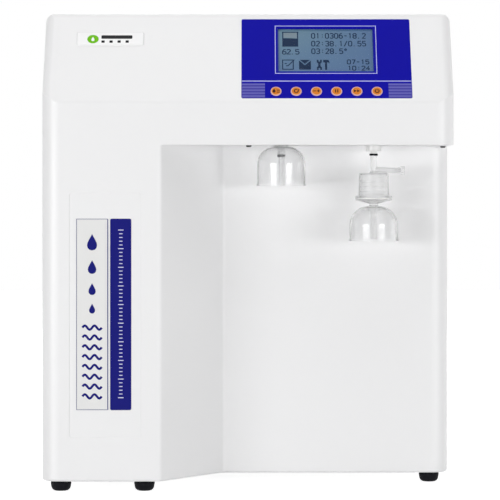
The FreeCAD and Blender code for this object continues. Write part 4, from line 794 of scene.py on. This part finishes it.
def make_feet():
    """Bowl-shaped rubber feet with a fine groove under the tray."""
    profile = rounded([(0, 0, 0), (10.4, 0, 5.6), (12.0, 9.4, 0.3), (11.5, 9.8, 0), (11.5, 10.5, 0),
                       (12.0, 10.9, 0.3), (12.0, 12.5, 0), (2.05, 12.5, 0), (2.05, 6.25, 0), (0, 6.25, 0)])
    shapes = []
    for low, high in clusters("rubber_feet", 20):
        middle = (low + high) / 2
        middle.z = 0
        shapes.append(lathe(profile, middle, "Z", 48))
    piece("feet", shapes, "black_rubber", node="rubber_feet")


def make_screws():
    """Socket screws of the back, of the shell's tabs and under the head."""
    seat_depth = 1.8
    shapes = []
    for low, high in clusters("cover_screws", 6):
        x, y, z = (low + high) / 2
        if low.z < CEILING < high.z:
            place = frame_of(Vector((x, y, CEILING)), X, -Y)
            shapes.append(socket_screw(place, 3.2, 2.0, 1.1, 1.6, high.z - CEILING))
        else:
            side, seat = (-X, high.y - seat_depth) if y > 0 else (X, low.y + seat_depth)
            place = frame_of(Vector((x, seat, z)), side, Z)
            shapes.append(socket_screw(place, 3.5, 1.8, 1.3, 2.0, high.y - low.y - seat_depth))
    piece("screws", shapes, "screw_black", node="cover_screws")


# ---------------- back fittings
def make_ports():
    """Push-fit tube ports with ribbed collars, hexagon nuts and grey release collars."""
    profile = [(2.0, 201, 0), (6.0, 201, 0.4), (6.0, 223, 0), (9.0, 223, 0.3), (9.0, 229, 0.8), (7.0, 229, 0)]
    for step in range(5):
        start = 231.5 + 2.6 * step
        profile += [(7.0, start, 0), (6.6, start + 0.3, 0), (6.6, start + 0.9, 0), (7.0, start + 1.2, 0)]
    profile += [(7.0, 246.6, 0.4), (5.4, 246.6, 0), (5.4, 243.6, 0), (3.25, 243.6, 0), (3.25, 230, 0),
                (2.0, 230, 0)]
    collar = [(3.3, 243.7), (5.2, 243.7), (5.2, 246.6), (4.9, 246.95), (3.6, 246.95), (3.3, 246.6)]
    hole = circle(6.0)
    nut = circle(7.7, hexagon=True)
    middles = [(low + high) / 2 for low, high in clusters("tube_ports", 5)]
    z = middles[0].z
    bodies, nuts, collars = [], [], []
    for x in sorted({round(middle.x, 1) for middle in middles}):
        middle = Vector((x, 0, z))
        bodies.append(lathe(rounded(profile), middle, "Y", 48))
        collars.append(lathe(collar, middle, "Y", 48))
        place = frame_of(Vector((x, 221, z)), X, Z)
        nuts.append(stacked([(hole, 0.0), (nut, 0.0), (nut, 6.0), (hole, 6.0)], place, "joined"))
    piece("port_bodies", bodies, "white_plastic", node="tube_ports")
    piece("port_nuts", nuts, "white_plastic")
    piece("port_collars", collars, "collet_grey")


ROCKER_AXIS = 223.0  # depth of the rocker's axis
ROCKER_TILT = 10  # degrees, both of its halves and its off position


def make_inlet():
    """Blades of the inlet, the recess' rim and the rocker's two marks."""
    low, high = box("power_inlet")
    x, _, z = (low + high) / 2
    z -= 13  # the socket lies below the rocker
    place = frame_of(Vector((x, 0, z)), -X, Z)
    blades = []
    for u, v in ((-7, -3.4), (7, -3.4), (0, 3.4)):
        root = bar(u - 1.1, u + 1.1, v - 2.1, v + 2.1)
        blades.append(stacked([(root, 209.1), (root, 219.4), (bar(u - 0.7, u + 0.7, v - 1.7, v + 1.7), 220.6)],
                              place))
    piece("inlet_blades", blades, "steel", smooth=0)
    face = frame_of(Vector((x, high.y, z)), -X, Z)
    rims = [ribbon(points, 0.7, face, 0.0, 0.35, True)
            for points in (bar(-13.6, 13.6, -9.6, 9.6), bar(-8.3, 8.3, 13.2, 36.8))]
    piece("inlet_rims", rims, "black_plastic", smooth=0)

    def on_rocker(side):
        lean = math.radians(ROCKER_TILT) * side
        turn = Matrix.Rotation(math.radians(-ROCKER_TILT), 3, "X")
        start = Vector((x, ROCKER_AXIS, z + 25)) + turn @ Vector((0, 1.5, 0))
        return frame_of(start, -X, turn @ Vector((0, math.sin(lean), math.cos(lean))))

    print_piece("rocker_on_mark", [], "white_print", on_rocker(1), 0.01, "power_rocker",
                [[(0, 3.2), (0, 7.0)]], 0.8)
    print_piece("rocker_off_mark", [], "white_print", on_rocker(-1), 0.01, "power_rocker",
                [arc(1.8, 0, 345, 20, 0, -5.0)], 0.7, True)


# ---------------- inside: filters and vessels
CAP = 9  # vessels stand this far inside their nipples
FILTERS = {"sediment_cartridge": "cartridge_white", "carbon_cartridge": "cartridge_white",
           "polishing_cartridge_1": "cartridge_blue", "polishing_cartridge_2": "cartridge_blue"}


def hoop(radius, low, high, proud, edge=0.25):
    """Profile of a ring that lies round a vessel."""
    return [(radius - 0.3, low), (radius + proud - edge, low), (radius + proud, low + edge),
            (radius + proud, high - edge), (radius + proud - edge, high), (radius - 0.3, high)]


def hoops(name, profiles, middle, material, body=CABINET, axis="Z", steps=72):
    piece(name, [lathe(profile, middle, axis, steps) for profile in profiles], material, body)


def make_cartridge(node, cap):
    """Fluted cap, welded seam, foot ring and a plain band round a filter cartridge."""
    low, high = box(node)
    axis = axis_of(node)
    radius = (high.x - low.x) / 2
    base = low.z
    top = high.z - 12
    outer = fluted(radius, 0.7, 30)
    edge = moved(outer, 0.985)
    place = frame_of(axis, X, Y)
    grip = stacked([(edge, top - 34), (outer, top - 33.4), (outer, top - 11.6), (edge, top - 11)], place)
    piece(node + "_cap", [grip], cap, node, 50.0)
    hoops(node + "_rings", [hoop(radius, top - 38.5, top - 35.5, 0.5), hoop(radius, base + 13, base + 16, 0.4),
                            hoop(radius, base + 18, base + 19.5, 0.4), hoop(15, top + 1, top + 3, 0.8)],
          axis, cap, body=node)
    hoops(node + "_band", [hoop(radius, base + 60, top - 62, 0.12, 0.05)], axis, "band_pale", body=node)
    hoops(node + "_band_lines", [hoop(radius, base + rise, base + rise + 2.4, 0.2, 0.05) for rise in (66, 72)],
          axis, "band_blue", body=node)


def make_manifold(node, cartridges):
    """Raised lids with four screws over each cartridge of a manifold."""
    top = box(node)[1].z - 9
    hole, outer, inner = circle(5.1, 48), circle(17, 48), circle(16.4, 48)
    lids, screws = [], []
    for cartridge in cartridges:
        spot = Vector((axis_of(cartridges[0]).x, axis_of(cartridge).y, top))
        lids.append(stacked([(hole, -0.1), (outer, -0.1), (outer, 1.6), (inner, 2.2), (hole, 2.2)],
                            frame_of(spot, X, Y), "joined"))
        for u, v in ((1, 1), (1, -1), (-1, 1), (-1, -1)):
            place = frame_of(spot + Vector((8.6 * u, 8.6 * v, 2.2)), X, Y)
            screws.append(socket_screw(place, 2.4, 1.6, 1.0, 1.2, 1.0))
    piece(node + "_lids", lids, "black_plastic")
    piece(node + "_screws", screws, "steel")


def make_vessel():
    """Ribbed end caps round the reverse osmosis vessel and clamp bolts on the clips."""
    axis = axis_of("ro_vessel")
    radius = 42
    base = box("ro_vessel")[0].z + CAP
    top = box("ro_vessel")[1].z - CAP
    rings = [hoop(radius, start + rise, start + rise + 2.2, 0.9)
             for start in (base + 11, top - 31) for rise in (0, 5, 10, 15)]
    rings += [hoop(radius, base + 36, base + 38, 1.2), hoop(radius, top - 38, top - 36, 1.2)]
    hoops("vessel_cap_ribs", rings, axis, "cartridge_white", steps=80)
    hoops("vessel_band", [hoop(radius, base + 110, top - 130, 0.12, 0.05)], axis, "band_blue", steps=80)
    bolts = []
    for node, reach in (("ro_vessel", 45), ("uv_chamber", 33)):
        low, high = box(node)
        for share in (0.17, 0.67):
            rise = low.z + CAP + share * (high.z - low.z - 2 * CAP)
            spot = axis_of(node) + Vector((0, 0.2 - reach, rise + 9))
            bolts.append(socket_screw(frame_of(spot, X, Z), 3.0, 1.6, 1.2, 1.5, 1.5))
    piece("clip_bolts", bolts, "steel")


def make_lamp_chamber():
    """Rings round the end caps of the lamp's chamber, and its black cable gland."""
    axis = axis_of("uv_chamber")
    base = box("uv_chamber")[0].z + CAP
    top = box("uv_chamber")[1].z - CAP
    hoops("lamp_chamber_rings", [
        hoop(30, base + 1, base + 13, 0.8), hoop(30, top - 13, top - 1, 0.8),
        hoop(30, base + 17, base + 18, 0.4), hoop(30, top - 18, top - 17, 0.4)],
        axis, "steel", steps=80)
    place = frame_of(axis + Vector((0, -15, top)), X, Y)
    nut = circle(5.4, hexagon=True)
    piece("lamp_gland", [slab(nut, place, -0.1, 3.2), boss(place, 4.2, 8.0, 1.2, 3.1)], "black_plastic")


def make_tube_collets():
    """Grey release collars where each tube enters its nipple."""
    spots = [(axis_of(node) + Z * 473, 1) for node in FILTERS]
    for node, shifts in (("ro_vessel", (0, -20)), ("uv_chamber", (0,))):
        low, high = box(node)
        for shift in shifts:
            axis = axis_of(node) + X * shift
            spots += [(axis + Z * high.z, 1), (axis + Z * low.z, -1)]
    low, high = box("pump_head")
    spots += [(Vector((centre("pump_head").x + shift, low.y + 22, high.z)), 1) for shift in (-15, 15)]
    profile = [(3.3, -0.1), (4.7, -0.1), (4.7, 0.9), (5.6, 1.1), (5.6, 2.2), (3.3, 2.2)]
    collets = [lathe([(r, side * rise) for r, rise in profile], spot, "Z", 32) for spot, side in spots]
    piece("tube_collets", collets, "collet_grey")


# ---------------- inside: pump and electrics
def make_pump():
    """Cover plate and bolts of the pump's head, rings and a band round its motor."""
    front = box("pump_head")[0].y
    x = centre("pump_head").x
    size = 62
    place = frame_of(Vector((x - size / 2, front, 22.5)), X, Z)
    hub = frame_of(place(size / 2, size / 2, 3.0), X, Z)
    piece("pump_cover", [block(place, 4, size - 4, 4, size - 4, 3.0, 0.8), boss(hub, 16, 2.0, 0.6, -0.1)],
          "black_plastic")
    bolts = [socket_screw(frame_of(place(u, v, 3.0), X, Z), 3.2, 2.6, 1.5, 1.6, 1.0)
             for u in (9.5, 52.5) for v in (9.5, 52.5)]
    piece("pump_bolts", bolts, "steel")

    low, high = box("pump_motor")
    middle = Vector((x, 0, (low.z + high.z) / 2))
    hoops("motor_rings", [hoop(30, low.y + 3, low.y + 6, 0.5), hoop(30, high.y - 12, high.y - 1, 0.7),
                          hoop(30, high.y - 16, high.y - 15, 0.4)],
          middle, "motor_dark", axis="Y")
    hoops("motor_band", [hoop(30, low.y + 16, low.y + 44, 0.1, 0.04)], middle, "steel", axis="Y")


def make_supply():
    """Vent slots, lid seam and a terminal block on the power supply."""
    low, high = box("power_supply")
    width = high.x - low.x
    length = high.y - low.y
    top = frame_of(Vector((low.x, low.y, high.z)), X, Y)
    slots = [slab(bar(u - 6.5, u + 6.5, v - 1.1, v + 1.1, 1.0), top, 0.02, 0.09)
             for u in (16 + row * (width - 32) / 3 for row in range(4))
             for v in (34 + column * 8.6 for column in range(9))]
    piece("supply_vents", slots, "black_plastic", smooth=0)
    piece("supply_lid", [ribbon(bar(1.2, width - 1.2, 1.2, length - 1.2), 0.9, top, -0.1, 0.5, True)],
          "frame_aluminium", smooth=0)
    front = frame_of(low, X, Z)
    pitch = 52 / 5
    terminals = [block(front, 10, 62, 8, 20, 9)]
    terminals += [block(front, 10 + pitch * step - 0.5, 10 + pitch * step + 0.5, 7, 24, 11, 0.2)
                  for step in range(6)]
    piece("supply_terminals", terminals, "black_plastic")
    screws = [socket_screw(frame_of(front(10 + pitch * (step + 0.5), 14, 9), X, Z), 2.6, 1.2, 1.0, 1.2, 1.0)
              for step in range(5)]
    piece("supply_screws", screws, "steel")


BOARD_FACE = 11.1  # the board's face, across the cabinet
# capacitors: across, up, radius, height
CANS = [(104, 96, 5, 12), (116, 96, 5, 12), (128, 99, 4, 10), (138, 99, 4, 10), (20, 53, 4, 8), (60, 53, 4, 8),
        (96, 53, 3.2, 8)]


def make_board():
    """Relays, capacitors, chips with legs, sockets and tracks on the control board."""
    low = box("control_board")[0]
    place = frame_of(Vector((BOARD_FACE, low.y, low.z)), Y, Z)
    piece("board_relays", [block(place, u, u + 19, 92, 107, 15) for u in (8, 30, 52, 74)], "band_blue")
    piece("board_sockets", [block(place, u, u + width, 3, 10, 8)
                            for u, width in ((8, 22), (34, 22), (62, 16), (82, 16), (116, 22))],
          "white_plastic")
    piece("board_capacitors", [boss(frame_of(place(u, v, 0), Y, Z), radius, height, 0.6, -0.1)
                               for u, v, radius, height in CANS], "black_plastic")
    legs = [block(place, u - 0.4, u + 0.4, v, v + 1.4, 1.4, 0.1, -0.05)
            for column in (37.5, 75.0, 112.5) for row in (110 / 3, 220 / 3)
            for u in (column - 10.5 + 3 * step for step in range(8)) for v in (row - 7.4, row + 6.0)]
    piece("board_legs", legs, "steel", smooth=0)
    tracks = []
    for index in range(7):
        u = 10 + 7.5 * index
        tracks.append([(u, 11), (u, 22 + index), (u + 6, 28 + index), (u + 6, 46)])
        tracks.append([(u + 76, 60), (u + 76, 68), (u + 70, 74), (u + 70, 90)])
    print_piece("board_tracks", [], "board_track", place, 0.02, lines=tracks, width=0.7)


# ---------------- the pieces
make_panel_prints()
for key, (key_outlines, key_lines) in enumerate(KEY_MARKS, 1):
    make_key("key_%d" % key, key_outlines, key_lines)
make_window()
make_display()
make_left_outlet()
make_right_outlet()
piece("o_rings", [o_ring(axis_of("left_outlet_bell"), CEILING - 10.5),
                  o_ring(axis_of("right_outlet_nozzle"), CEILING - 9.4)],
      "black_rubber", smooth=30.0, node="outlet_rings")
make_vent_knob()
make_badge()
make_label()
make_feet()
make_screws()
make_ports()
make_inlet()
for cartridge, cap_material in FILTERS.items():
    make_cartridge(cartridge, cap_material)
make_manifold("prefilter_manifold", ("sediment_cartridge", "carbon_cartridge"))
make_manifold("polisher_manifold", ("polishing_cartridge_1", "polishing_cartridge_2"))
make_vessel()
make_lamp_chamber()
make_tube_collets()
make_pump()
make_supply()
make_board()


# ---------------- stage, in metres
FLOOR_REACH = 6.0
FLOOR_GLOW = 0.88  # keeps the floor as pale as the backdrop
WORLD_LIGHT = 0.27
CAMERA_PLACE = (2.35 * MM, -3.247, 0.340)
CAMERA_LENS = 189.4
CAMERA_SHIFT = -0.1107


def shown_rays(tree):
    """1 for what the camera, a reflection or a clear piece shows, 0 for light that falls on things."""
    rays = tree.nodes.new("ShaderNodeLightPath").outputs
    mirrored = combined(tree, "MAXIMUM", rays["Is Camera Ray"], rays["Is Glossy Ray"])
    return combined(tree, "MAXIMUM", mirrored, rays["Is Transmission Ray"])


def make_floor():
    """Plain pale floor that keeps the soft shadow of the cabinet."""
    floor = bpy.data.meshes.new("floor")
    floor.from_pydata([(x, y, 0) for x, y in bar(-FLOOR_REACH, FLOOR_REACH, -FLOOR_REACH, FLOOR_REACH)],
                      [], [(0, 1, 2, 3)])
    tree, principled = shader("floor_white")
    put(principled, Base_Color=ramp(tree, noise(tree, 2.0, 2.0), (0.80, 0.80, 0.80), (0.82, 0.82, 0.82)),
        Roughness=0.9, Specular_IOR_Level=0.1, Emission_Color=(1, 1, 1, 1),
        Emission_Strength=span(tree, shown_rays(tree), 0.0, FLOOR_GLOW))
    floor.materials.append(MATERIAL["floor_white"])
    linked("floor", floor)


def make_world():
    """White to the camera and in reflections, plain pale light otherwise."""
    world = bpy.context.scene.world = bpy.data.worlds.new("studio")
    world.use_nodes = True
    tree = world.node_tree
    put(tree.nodes["Background"], Color=(1, 1, 1, 1), Strength=span(tree, shown_rays(tree), WORLD_LIGHT, 1.0))


def lamp(name, place, aim, width, height, power):
    """Soft area lamp that points at `aim`."""
    data = bpy.data.lights.new(name, "AREA")
    data.shape = "RECTANGLE"
    data.size = width
    data.size_y = height
    data.energy = power
    obj = linked(name, data)
    obj.location = place
    obj.rotation_euler = (Vector(aim) - Vector(place)).to_track_quat("-Z", "Y").to_euler()


def make_camera():
    data = bpy.data.cameras.new("camera")
    data.lens = CAMERA_LENS
    data.sensor_width = 36.0
    data.shift_y = CAMERA_SHIFT
    obj = linked("camera", data)
    obj.location = CAMERA_PLACE
    obj.rotation_euler = (math.radians(90), 0, 0)
    bpy.context.scene.camera = obj


make_camera()
make_world()
make_floor()
lamp("left_panel", (-2.0, -2.6, 0.34), (0, -0.2, 0.33), 1.7, 0.56, 36.0)
lamp("right_panel", (2.0, -2.6, 0.34), (0, -0.2, 0.33), 1.7, 0.56, 27.2)
lamp("left_side_panel", (-2.6, 0.6, 0.6), (0, -0.1, 0.3), 2.0, 1.0, 2.0)
lamp("right_side_panel", (2.6, 0.6, 0.6), (0, -0.1, 0.3), 2.0, 1.0, 9.0)
lamp("top_panel", (0, -0.85, 2.8), (0, -0.1, 0.4), 1.6, 1.6, 17.2)
lamp("rear_top_panel", (0, 1.1, 2.6), (0, 0.1, 0.5), 1.4, 1.4, 9.0)
lamp("back_panel", (0, 3.0, 1.2), (0, 0.2, 0.3), 1.8, 1.8, 36.0)
bpy.context.scene.view_settings.view_transform = "Standard"
